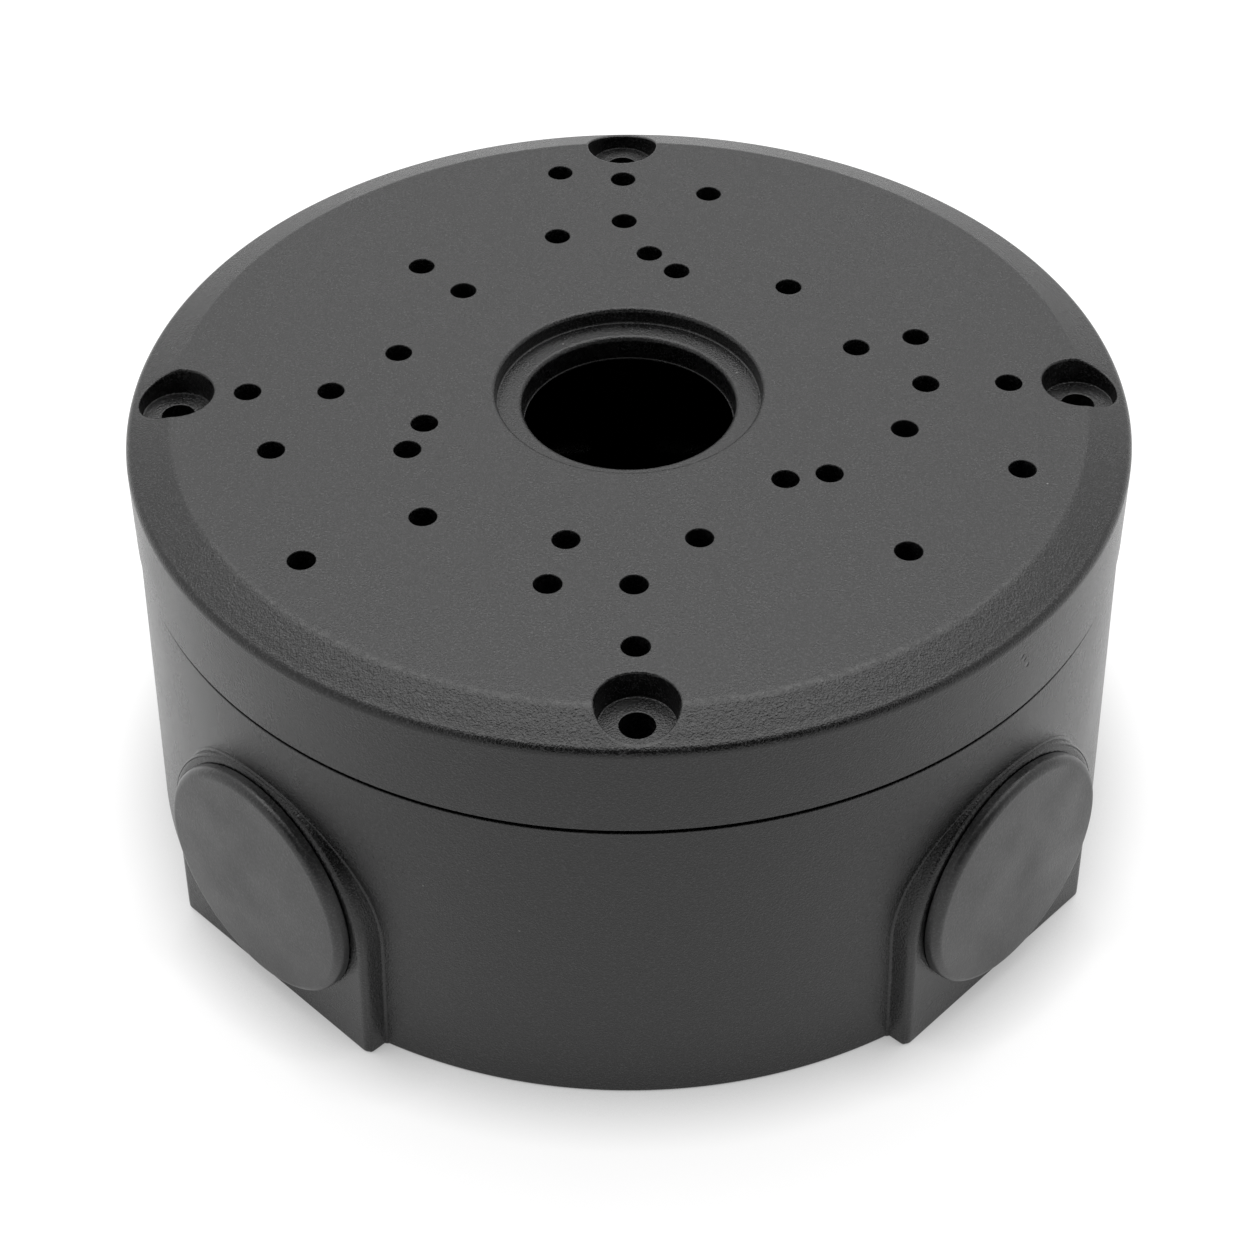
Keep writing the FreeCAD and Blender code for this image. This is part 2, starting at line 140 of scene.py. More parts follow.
def ring_points(angles: np.ndarray, radius: np.ndarray | float, height: np.ndarray | float) -> np.ndarray:
    """Points about Z at angles, with one radius and height or one for each."""
    heights = np.broadcast_to(height, angles.shape)
    return np.stack([radius * np.cos(angles), radius * np.sin(angles), heights], axis=1)


class Skin:
    """Points and faces of a mesh in the making, in millimetres."""

    def __init__(self) -> None:
        """Start with nothing."""
        self.points: list[Point] = []
        self.faces: list[tuple[int, ...]] = []

    def add_points(self, points: np.ndarray) -> list[int]:
        """Add points and give their numbers.

        Args:
            points: rows of x, y and z.

        Returns:
            The number of each added point.
        """
        start = len(self.points)
        self.points += [tuple(float(c) for c in p) for p in points]
        return list(range(start, len(self.points)))

    def join_rows(self, row_a: list[int], row_b: list[int], closed: bool = True) -> None:
        """Join two rows of points with four-sided faces.

        Args:
            row_a: point numbers of one row.
            row_b: point numbers of the other row, as many.
            closed: whether the rows are rings.
        """
        count = len(row_a)
        for i in range(count if closed else count - 1):
            j = (i + 1) % count
            self.faces.append((row_a[i], row_a[j], row_b[j], row_b[i]))

    def join_all(self, rows: list[list[int]], closed: bool = True) -> None:
        """Join each row to the next."""
        for row_a, row_b in zip(rows, rows[1:]):
            self.join_rows(row_a, row_b, closed)

    def add_form(self, points: np.ndarray, faces: list) -> None:
        """Add points with the faces between them."""
        numbers = self.add_points(points)
        self.faces += [tuple(numbers[k] for k in face) for face in faces]

    def fan(self, row: list[int], centre: Point) -> None:
        """Close a ring of points with triangles.

        Args:
            row: point numbers of the ring.
            centre: the point that the triangles meet in.
        """
        hub = self.add_points(np.array([centre]))[0]
        for i in range(len(row)):
            self.faces.append((row[i], row[(i + 1) % len(row)], hub))

    def mesh(self, name: str) -> bpy.types.Mesh:
        """Make a closed mesh in metres, with its doubles merged and its faces outwards.

        Args:
            name: the mesh's name.

        Returns:
            The new mesh.
        """
        made = bpy.data.meshes.new(name)
        made.from_pydata([(x * MM, y * MM, z * MM) for x, y, z in self.points], [], self.faces)
        form = bmesh.new()
        form.from_mesh(made)
        bmesh.ops.remove_doubles(form, verts=form.verts, dist=1e-6)
        bmesh.ops.dissolve_degenerate(form, dist=1e-7, edges=form.edges)
        bmesh.ops.recalc_face_normals(form, faces=form.faces)
        open_edges = sum(1 for edge in form.edges if not edge.is_manifold)
        if open_edges:
            LOG.warning("%s has %d open edges", name, open_edges)
        form.to_mesh(made)
        form.free()
        return made


def add_object(name: str, mesh: bpy.types.Mesh) -> bpy.types.Object:
    """Put a mesh into the scene at the origin.

    Args:
        name: the object's name.
        mesh: its mesh.

    Returns:
        The new object.
    """
    made = bpy.data.objects.new(name, mesh)
    bpy.context.scene.collection.objects.link(made)
    return made


def turned_form(profile: Profile, sides: int, closed: bool = False) -> Skin:
    """Turn a profile about Z.

    Args:
        profile: (radius, height) points. An open profile starts and ends on the axis.
        sides: number of steps round the axis.
        closed: whether the profile is a closed ring of points that stays off the axis.

    Returns:
        The turned skin.
    """
    skin = Skin()
    angles = full_turn(sides)
    rows: list[list[int]] = []
    for r, z in profile:
        if r <= 0.0:
            rows.append([])
            continue
        rows.append(skin.add_points(ring_points(angles, r, z)))
    pairs = list(zip(rows, rows[1:] + rows[:1]))
    for (row_a, row_b), height in zip(pairs if closed else pairs[:-1], [z for _, z in profile]):
        if row_a and row_b:
            skin.join_rows(row_a, row_b)
        elif row_b:
            skin.fan(row_b, (0.0, 0.0, height))
    if not closed and not rows[-1]:
        skin.fan(rows[-2], (0.0, 0.0, profile[-1][1]))
    return skin


def turned_object(name: str, profile: Profile, sides: int, closed: bool = False) -> bpy.types.Object:
    """Turn a profile about Z into an object."""
    return add_object(name, turned_form(profile, sides, closed).mesh(name))


def plain_form(name: str, radius: float, low: float, high: float, sides: int = 48) -> bpy.types.Object:
    """Upright round form between two heights."""
    return turned_object(name, [(0.0, low), (radius, low), (radius, high), (0.0, high)], sides)


def remove(forms: list[bpy.types.Object]) -> None:
    """Take away the forms that a casting was made with."""
    for form in forms:
        bpy.data.objects.remove(form)


# Geometry Nodes

@dataclass(frozen=True)
class HoleCircle:
    """Evenly spaced places on a circle, in millimetres and degrees."""
    label: str
    diameter: float
    count: int
    first: float = 0.0


class NodeTree:
    """A node tree with short ways to add nodes, links and named inputs."""

    def __init__(self, tree: bpy.types.NodeTree) -> None:
        """Work on a tree."""
        self.tree = tree

    def socket(self, name: str, kind: str, output: bool = False, default: object = None) -> str:
        """Add a named input or output.

        Args:
            name: the socket's name.
            kind: the socket's type without its prefix, such as Float.
            output: whether it is an output.
            default: the value of an input that nothing sets.

        Returns:
            The socket's identifier.
        """
        side = "OUTPUT" if output else "INPUT"
        made = self.tree.interface.new_socket(name, in_out=side, socket_type="NodeSocket" + kind)
        if default is not None:
            made.default_value = default
        return made.identifier

    def node(self, kind: str, inputs: Inputs | None = None, **settings: object) -> bpy.types.Node:
        """Add a node.

        Args:
            kind: the node's type.
            inputs: what goes into its sockets, each a value or another node's output socket.
            **settings: the node's own settings.

        Returns:
            The new node.
        """
        made = self.tree.nodes.new(kind)
        for name, value in settings.items():
            setattr(made, name, value)
        self.fill(made, inputs or {})
        return made

    def fill(self, node: bpy.types.Node, inputs: Inputs) -> None:
        """Set a node's sockets.

        Args:
            node: the node.
            inputs: what goes into its sockets, each a value or another node's output socket.
        """
        for name, value in inputs.items():
            if isinstance(value, bpy.types.NodeSocket):
                self.tree.links.new(value, node.inputs[name])
            else:
                node.inputs[name].default_value = value

    def end(self, shape: bpy.types.NodeSocket, material: bpy.types.NodeSocket) -> None:
        """Make a geometry real, give it its material and put it out.

        Args:
            shape: the geometry.
            material: the socket that holds its material.
        """
        real = self.node("GeometryNodeRealizeInstances", {0: shape})
        dressed = self.node("GeometryNodeSetMaterial", {"Geometry": real.outputs[0], "Material": material})
        self.node("NodeGroupOutput", {"Geometry": dressed.outputs[0]})

    def run(self, piece: bpy.types.Object, values: dict[str, object]) -> bpy.types.Mesh:
        """Run the tree on a piece with values for its inputs.

        Args:
            piece: the object that the tree works on.
            values: what each input gets, by its identifier.

        Returns:
            The mesh that the tree gives.
        """
        modifier = piece.modifiers.new("geometry", "NODES")
        modifier.node_group = self.tree
        for identifier, value in values.items():
            modifier[identifier] = value
        return evaluated_mesh(piece)


def circle_of_places() -> bpy.types.NodeTree:
    """Node group that puts points evenly on a circle round the Z axis.

    Returns:
        The group, with inputs Diameter, Count and First Angle.
    """
    build = NodeTree(bpy.data.node_groups.new("places on a circle", "GeometryNodeTree"))
    build.socket("Diameter", "Float", default=0.1)
    build.socket("Count", "Int", default=4)
    build.socket("First Angle", "Float", default=0.0)
    build.socket("Places", "Geometry", output=True)
    given = build.node("NodeGroupInput")
    radius = build.node("ShaderNodeMath", {0: given.outputs["Diameter"], 1: 0.5}, operation="MULTIPLY")
    share = build.node(
        "ShaderNodeMath",
        {0: build.node("GeometryNodeInputIndex").outputs[0], 1: given.outputs["Count"]},
        operation="DIVIDE")
    angle = build.node(
        "ShaderNodeMath",
        {0: share.outputs[0], 1: 2 * math.pi, 2: given.outputs["First Angle"]},
        operation="MULTIPLY_ADD")
    across = build.node("ShaderNodeMath", {0: angle.outputs[0]}, operation="COSINE")
    along = build.node("ShaderNodeMath", {0: angle.outputs[0]}, operation="SINE")
    direction = build.node("ShaderNodeCombineXYZ", {"X": across.outputs[0], "Y": along.outputs[0]})
    place = build.node(
        "ShaderNodeVectorMath",
        {0: direction.outputs[0], "Scale": radius.outputs[0]},
        operation="SCALE")
    points = build.node(
        "GeometryNodePoints",
        {"Count": given.outputs["Count"], "Position": place.outputs[0]})
    build.node("NodeGroupOutput", {"Places": points.outputs["Points"]})
    return build.tree


class Solid(Enum):
    """How a form is combined with a casting."""
    ADD = "UNION"
    CUT = "DIFFERENCE"
    CLIP = "INTERSECT"


class CastingTree:
    """Geometry Nodes that add bosses to a casting and cut its holes, each form repeated on circles."""

    places_group: bpy.types.NodeTree | None = None

    def __init__(self, name: str) -> None:
        """Start a tree whose geometry goes in and out.

        Args:
            name: the tree's name.
        """
        if CastingTree.places_group is None:
            CastingTree.places_group = circle_of_places()
        self.build = NodeTree(bpy.data.node_groups.new(name, "GeometryNodeTree"))
        self.build.socket("Geometry", "Geometry")
        self.build.socket("Geometry", "Geometry", output=True)
        self.values: dict[str, object] = {}
        self.given = self.build.node("NodeGroupInput")
        self.shape = self.given.outputs["Geometry"]

    def named(self, name: str, kind: str, value: object) -> bpy.types.NodeSocket:
        """Add a named input with the value that the modifier gets.

        Args:
            name: the input's name.
            kind: the socket's type.
            value: the value to set on the modifier.

        Returns:
            The socket inside the tree.
        """
        identifier = self.build.socket(name, kind)
        self.values[identifier] = value
        return self.given.outputs[name]

    def form(self, label: str, form: bpy.types.Object) -> bpy.types.NodeSocket:
        """Take an object's mesh into the tree."""
        chosen = self.named(label + " Form", "Object", form)
        return self.build.node("GeometryNodeObjectInfo", {"Object": chosen}).outputs["Geometry"]

    def repeated(self, form: bpy.types.NodeSocket, circles: list[HoleCircle]) -> bpy.types.NodeSocket:
        """Repeat a form on circles, turned to face outwards.

        Args:
            form: the mesh to repeat.
            circles: where its copies go.

        Returns:
            The copies as one mesh.
        """
        joined = self.build.node("GeometryNodeJoinGeometry")
        for circle in circles:
            places = self.build.node("GeometryNodeGroup", node_tree=CastingTree.places_group)
            wanted = {
                "Diameter": ("Float", circle.diameter * MM),
                "Count": ("Int", circle.count),
                "First Angle": ("Float", math.radians(circle.first)),
            }
            for name, (kind, value) in wanted.items():
                source = self.named(f"{circle.label} {name}", kind, value)
                self.build.tree.links.new(source, places.inputs[name])
            self.build.tree.links.new(places.outputs["Places"], joined.inputs[0])
        outwards = self.build.node(
            "FunctionNodeAlignRotationToVector",
            {"Vector": self.build.node("GeometryNodeInputPosition").outputs[0]},
            axis="X", pivot_axis="Z")
        copies = self.build.node(
            "GeometryNodeInstanceOnPoints",
            {"Points": joined.outputs[0], "Instance": form, "Rotation": outwards.outputs[0]})
        return self.build.node("GeometryNodeRealizeInstances", {0: copies.outputs[0]}).outputs[0]

    def combine(self, other: bpy.types.NodeSocket, how: Solid,
                base: bpy.types.NodeSocket | None = None) -> None:
        """Combine the casting, or another base, with a form.

        Args:
            other: the form to add, cut or clip with.
            how: the way that they are combined.
            base: what the form is combined with, where it isn't the casting.
        """
        shape = base or self.shape
        step = self.build.node("GeometryNodeMeshBoolean", operation=how.value, solver="MANIFOLD")
        first = "Mesh 1" if how is Solid.CUT else "Mesh 2"
        self.build.fill(step, {first: shape})
        self.build.fill(step, {"Mesh 2": other})
        self.shape = step.outputs["Mesh"]

    def finish(self, piece: bpy.types.Object, material: bpy.types.Material) -> bpy.types.Mesh:
        """End the tree, run it on a piece and give the plain mesh.

        Args:
            piece: the object that holds the casting's body.
            material: the finish of the whole casting.

        Returns:
            The finished mesh.
        """
        chosen = self.named("Finish", "Material", material)
        self.build.end(self.shape, chosen)
        return self.build.run(piece, self.values)


def evaluated_mesh(piece: bpy.types.Object) -> bpy.types.Mesh:
    """Plain mesh of an object with its modifiers applied, and no modifier left on the object.

    Args:
        piece: the object.

    Returns:
        The mesh that its modifiers give.
    """
    bpy.context.view_layer.update()
    graph = bpy.context.evaluated_depsgraph_get()
    made = bpy.data.meshes.new_from_object(piece.evaluated_get(graph), depsgraph=graph)
    piece.modifiers.clear()
    return made


def thread_ridge(name: str, radius: float, length: float, pitch: float, depth: float,
                 material: bpy.types.Material) -> bpy.types.Mesh:
    """Helical thread ridge round Z, from height 0 upwards.

    Args:
        name: the mesh's name.
        radius: radius of the shank that carries it, in millimetres.
        length: length of the thread, in millimetres.
        pitch: distance between turns, in millimetres.
        depth: how far the ridge stands out, in millimetres.
        material: the ridge's finish.

    Returns:
        The ridge as a closed mesh.
    """
    build = NodeTree(bpy.data.node_groups.new(name, "GeometryNodeTree"))
    build.socket("Geometry", "Geometry", output=True)
    inputs = {"Radius": radius * MM, "Length": length * MM, "Turns": length / pitch, "Ridge": depth * MM}
    values = {build.socket(label, "Float"): value for label, value in inputs.items()}
    values[build.socket("Finish", "Material")] = material
    given = build.node("NodeGroupInput")
    helix = build.node("GeometryNodeCurveSpiral", {
        "Resolution": 48,
        "Rotations": given.outputs["Turns"],
        "Start Radius": given.outputs["Radius"],
        "End Radius": given.outputs["Radius"],
        "Height": given.outputs["Length"],
    })
    section = build.node("GeometryNodeCurvePrimitiveCircle", {
        "Resolution": 4,
        "Radius": given.outputs["Ridge"],
    })
    ridge = build.node("GeometryNodeCurveToMesh", {
        "Curve": helix.outputs[0],
        "Profile Curve": section.outputs[0],
        "Fill Caps": True,
    })
    build.end(ridge.outputs[0], given.outputs["Finish"])
    carrier = add_object(name, bpy.data.meshes.new(name))
    made = build.run(carrier, values)
    bpy.data.objects.remove(carrier)
    return made


# Surface effects

# Where the coat's band is coarse and carries a painted highlight, and how softly that starts and ends, in
# metres
FRONT_START, FRONT_FADE = 0.02, 0.03    # towards -Y
RIM_START, RIM_FADE = 0.0654, 0.0016
HEIGHT_FADE, INNER_FADE = 0.0005, 0.0006
CREASE_WIDTH, RIM_WIDTH = 0.0008, 0.0007

RIM_SHARE = 0.7                 # how strongly the rim's painted highlight shows, against the crease's
COARSE_SHARE = 0.38             # scale of the band's grain, against the fine grain
STREAK_SCALE = 1300.0
STREAK_START, STREAK_FADE = 0.42, 0.2
SPECK_START, SPECK_FADE = 0.03, 0.03
FLECK_START, FLECK_FADE, FLECK_MEAN = 0.5, 0.18, 0.3
PATCH_SCALE = 90.0
DARKEST = 0.1                   # least shade, against the coat's own colour
DUST_AND_HIGHLIGHT = (0.2, 0.2, 0.195, 1.0)

# Small dents on the cover's side: place and size in metres
DENTS = (
    ((0.04788, -0.04838, 0.0578), 0.00042),
    ((0.04827, -0.04801, 0.0569), 0.00036),
    ((0.04878, -0.04752, 0.05555), 0.00042),
)
DENT_WOBBLE = 0.00035
DENT_WOBBLE_SCALE = 3000.0


def coat_group() -> bpy.types.NodeTree:
    """Node group for a fine granular coat, rougher along the front of a round band, with a painted highlight
    in streaks on the band's crease and rim there.

    Returns:
        The group, with inputs for the sizes and strengths of each effect.
    """
    build = NodeTree(bpy.data.node_groups.new("coat grain", "ShaderNodeTree"))
    defaults = {
        "Grain Size": 0.0004,
        "Pebble": 0.5,
        "Speck Size": 0.003,
        "Speck Share": 0.05,
        "Mottle": 0.1,
        "Fleck": 0.2,
        "Band Radius": 0.0619,
        "Band Width": 0.0049,
        "Band Height": 0.0603,
        "Band Grain": 0.0,
        "Rub": 0.0,
        "Dents": 0.0,
    }
    for name, default in defaults.items():
        build.socket(name, "Float", default=default)
    for name in ("Height", "Shade", "Patches", "Mark"):
        build.socket(name, "Float", output=True)
    given = build.node("NodeGroupInput").outputs
    place = build.node("ShaderNodeTexCoord").outputs["Object"]

    def math_node(operation: str, *values: object, clamp: bool = False) -> bpy.types.NodeSocket:
        """Add a Math node and give its result."""
        made = build.node("ShaderNodeMath", dict(enumerate(values)), operation=operation, use_clamp=clamp)
        return made.outputs[0]

    def noise(scale: object, detail: float, distortion: float = 0.0) -> bpy.types.NodeSocket:
        """Add a noise on the object's coordinates.

        Args:
            scale: its scale, a value or a socket.
            detail: its number of octaves.
            distortion: how far it is warped.

        Returns:
            The socket with its value.
        """
        return build.node("ShaderNodeTexNoise", {
            "Vector": place, "Scale": scale, "Detail": detail, "Roughness": 0.6, "Distortion": distortion,
        }).outputs[0]

    def ramp(value: object, start: object, width: float) -> bpy.types.NodeSocket:
        """Rise from 0 at a start to 1 a width further."""
        return math_node("DIVIDE", math_node("SUBTRACT", value, start), width, clamp=True)

    scale = math_node("DIVIDE", 1.0, given["Grain Size"])
    pebble = build.node(
        "ShaderNodeTexVoronoi",
        {"Vector": place, "Scale": scale},
        feature="F1").outputs["Distance"]
    fine = math_node("MULTIPLY_ADD", pebble, given["Pebble"], noise(scale, 3.0))

    level = build.node("ShaderNodeVectorMath", {0: place, 1: (1.0, 1.0, 0.0)}, operation="MULTIPLY")
    radius = build.node("ShaderNodeVectorMath", {0: level.outputs[0]}, operation="LENGTH").outputs["Value"]
    axes = build.node("ShaderNodeSeparateXYZ", {0: place}).outputs
    front = ramp(math_node("MULTIPLY", axes["Y"], -1.0), FRONT_START, FRONT_FADE)
    up_front = math_node("MULTIPLY", front, ramp(axes["Z"], given["Band Height"], HEIGHT_FADE))
    before_rim = math_node("SUBTRACT", 1.0, ramp(radius, RIM_START, RIM_FADE))
    past_inner = math_node("MULTIPLY", ramp(radius, given["Band Radius"], INNER_FADE), before_rim)
    on_band = math_node("MULTIPLY", up_front, past_inner)
    coarse = noise(math_node("MULTIPLY", scale, COARSE_SHARE), 2.0, 0.9)
    band_grain = math_node("MULTIPLY", on_band, math_node("MULTIPLY", coarse, given["Band Grain"]))
    wobble = math_node("MULTIPLY_ADD", noise(DENT_WOBBLE_SCALE, 2.0), DENT_WOBBLE, -DENT_WOBBLE / 2)
    dent: object = 0.0
    for spot, size in DENTS:
        away = build.node("ShaderNodeVectorMath", {0: place, 1: spot}, operation="DISTANCE").outputs["Value"]
        share = math_node("DIVIDE", math_node("ADD", away, wobble), size)
        pit = math_node("SUBTRACT", 1.0, share, clamp=True)
        dent = math_node("MAXIMUM", dent, pit)
    height = math_node("MULTIPLY_ADD", dent, given["Dents"], math_node("ADD", fine, band_grain))

    past_crease = math_node("SUBTRACT", radius, given["Band Radius"])
    off_crease = math_node("DIVIDE", math_node("ABSOLUTE", past_crease), CREASE_WIDTH)
    crease = math_node("SUBTRACT", 1.0, off_crease, clamp=True)
    off_rim = math_node("ABSOLUTE", math_node("SUBTRACT", past_crease, given["Band Width"]))
    rim = math_node("SUBTRACT", RIM_SHARE, math_node("DIVIDE", off_rim, RIM_WIDTH), clamp=True)
    # Painted highlight: streaks along the crease and the rim, on the front of the band only, lighten the
    # colour towards the grey of the dust specks.
    streaks = ramp(noise(STREAK_SCALE, 3.0), STREAK_START, STREAK_FADE)
    edges = math_node("MULTIPLY", math_node("MAXIMUM", crease, rim), up_front)
    edge_highlight = math_node("MULTIPLY", edges, streaks)

    cell = math_node("DIVIDE", 1.0, given["Speck Size"])
    specks = build.node("ShaderNodeTexVoronoi", {"Vector": place, "Scale": cell, "Randomness": 1.0})
    near = math_node("SUBTRACT", 1.0, ramp(specks.outputs["Distance"], SPECK_START, SPECK_FADE))
    chance = build.node("ShaderNodeSeparateColor", {0: specks.outputs["Color"]}).outputs[0]
    speck = math_node("MULTIPLY", near, math_node("LESS_THAN", chance, given["Speck Share"]))
    specks_and_highlight = math_node("MAXIMUM", speck, math_node("MULTIPLY", edge_highlight, given["Rub"]))

    flecks = math_node("SUBTRACT", ramp(noise(scale, 1.0, 0.8), FLECK_START, FLECK_FADE), FLECK_MEAN)
    flecked = math_node("MULTIPLY_ADD", flecks, given["Fleck"], 1.0)
    patches = noise(PATCH_SCALE, 4.0)
    uneven = math_node("MULTIPLY_ADD", patches, 2.0, -1.0)
    shade = math_node("MULTIPLY_ADD", uneven, given["Mottle"], flecked)
    build.node("NodeGroupOutput", {
        "Height": height,
        "Shade": math_node("MAXIMUM", shade, DARKEST),
        "Patches": patches,
        "Mark": specks_and_highlight,
    })
    return build.tree


def grey(tone: float) -> tuple[float, float, float, float]:
    """Opaque grey of a tone."""
    return (tone, tone, tone, 1.0)


def new_material(name: str) -> tuple[bpy.types.Material, NodeTree, bpy.types.Node]:
    """Start a material.

    Args:
        name: its name.

    Returns:
        The material, its node tree and its Principled shader.
    """
    made = bpy.data.materials.new(name)
    made.use_nodes = True
    return made, NodeTree(made.node_tree), made.node_tree.nodes["Principled BSDF"]


@dataclass(frozen=True)
class Finish:
    """A material's colours and textures, with lengths in metres."""
    name: str
    slot: str
    colour: tuple[float, float, float]
    roughness: float
    grain_size: float
    grain_height: float
    pebble: float = 0.6
    mottle: float = 0.12
    fleck: float = 0.2
    roughness_spread: float = 0.1
    speck_share: float = 0.0
    band_grain: float = 0.0
    painted_highlight: float = 0.0
    dents: float = 0.0
    ior: float = 1.5
    metallic: float = 0.0

    def material(self, coat: bpy.types.NodeTree) -> bpy.types.Material:
        """Build the material round the shared coat group.

        Args:
            coat: the shared group of grain, mottling, specks and painted highlight.

        Returns:
            The new material.
        """
        made, build, shader = new_material(self.name)
        grain = build.node("ShaderNodeGroup", {
            "Grain Size": self.grain_size,
            "Pebble": self.pebble,
            "Speck Share": self.speck_share,
            "Mottle": self.mottle,
            "Fleck": self.fleck,
            "Band Grain": self.band_grain,
            "Rub": self.painted_highlight,
            "Dents": self.dents,
        }, node_tree=coat).outputs
        tone = build.node(
            "ShaderNodeVectorMath",
            {0: self.colour, "Scale": grain["Shade"]},
            operation="SCALE")
        # Dust specks and the painted highlight along the band's crease and rim both lighten the colour.
        dusted_and_highlighted = build.node(
            "ShaderNodeMix",
            {"Factor": grain["Mark"], "A": tone.outputs[0], "B": DUST_AND_HIGHLIGHT},
            data_type="RGBA")
        rough = build.node("ShaderNodeMapRange", {
            "Value": grain["Patches"],
            "To Min": self.roughness - self.roughness_spread,
            "To Max": self.roughness + self.roughness_spread,
        })
        bump = build.node("ShaderNodeBump", {
            "Height": grain["Height"],
            "Distance": self.grain_height,
            "Strength": 1.0,
        })
        build.fill(shader, {
            "Base Color": dusted_and_highlighted.outputs["Result"],
            "Roughness": rough.outputs["Result"],
            "Normal": bump.outputs["Normal"],
            "Metallic": self.metallic,
            "IOR": self.ior,
        })
        return made


# The coat's painted highlight lightens streaks along the front of the band's crease and rim.
COAT = Finish(
    "powder_coat", "powder_coat", (0.0105, 0.0105, 0.0108), 0.27, 0.00026, 0.00006,
    mottle=0.4, fleck=3.6, roughness_spread=0.055, speck_share=0.04,
    band_grain=1.9, painted_highlight=0.22, dents=-4.0, ior=1.46)
PLASTIC = Finish(
    "plug_plastic", "plug_plastic", (0.03, 0.03, 0.0305), 0.36, 0.0003, 0.00003,
    mottle=1.3, fleck=1.2, roughness_spread=0.3)
RUBBER = Finish("seal_rubber", "seal_rubber", (0.012, 0.012, 0.012), 0.6, 0.0005, 0.00001)
ZINC = Finish("zinc_steel", "zinc_steel", (0.62, 0.62, 0.6), 0.32, 0.0003, 0.000004, metallic=1.0)


def settle(piece: bpy.types.Object, mesh: bpy.types.Mesh, sharp_deg: float = 32.0) -> None:
    """Give a piece its final mesh, with sharp edges by angle and normals that favour large faces.

    Args:
        piece: the object.
        mesh: its final mesh.
        sharp_deg: edges that turn more than this stay sharp.
    """
    mesh.name = piece.name
    mesh.shade_smooth()
    mesh.set_sharp_from_angle(angle=math.radians(sharp_deg))
    piece.data = mesh
    weigh = piece.modifiers.new("normals", "WEIGHTED_NORMAL")
    weigh.keep_sharp = True
    weigh.weight = 50
    piece.data = evaluated_mesh(piece)
    piece.data.name = piece.name


def hand_over(piece: bpy.types.Object, finish: Finish, *nodes: str) -> None:
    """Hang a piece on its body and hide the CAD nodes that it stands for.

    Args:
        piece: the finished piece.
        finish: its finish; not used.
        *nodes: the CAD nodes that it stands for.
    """
    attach(piece, ROOT)
    if nodes:
        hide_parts(*nodes)
    LOG.info("%s: %d faces", piece.name, len(piece.data.polygons))


# Cover

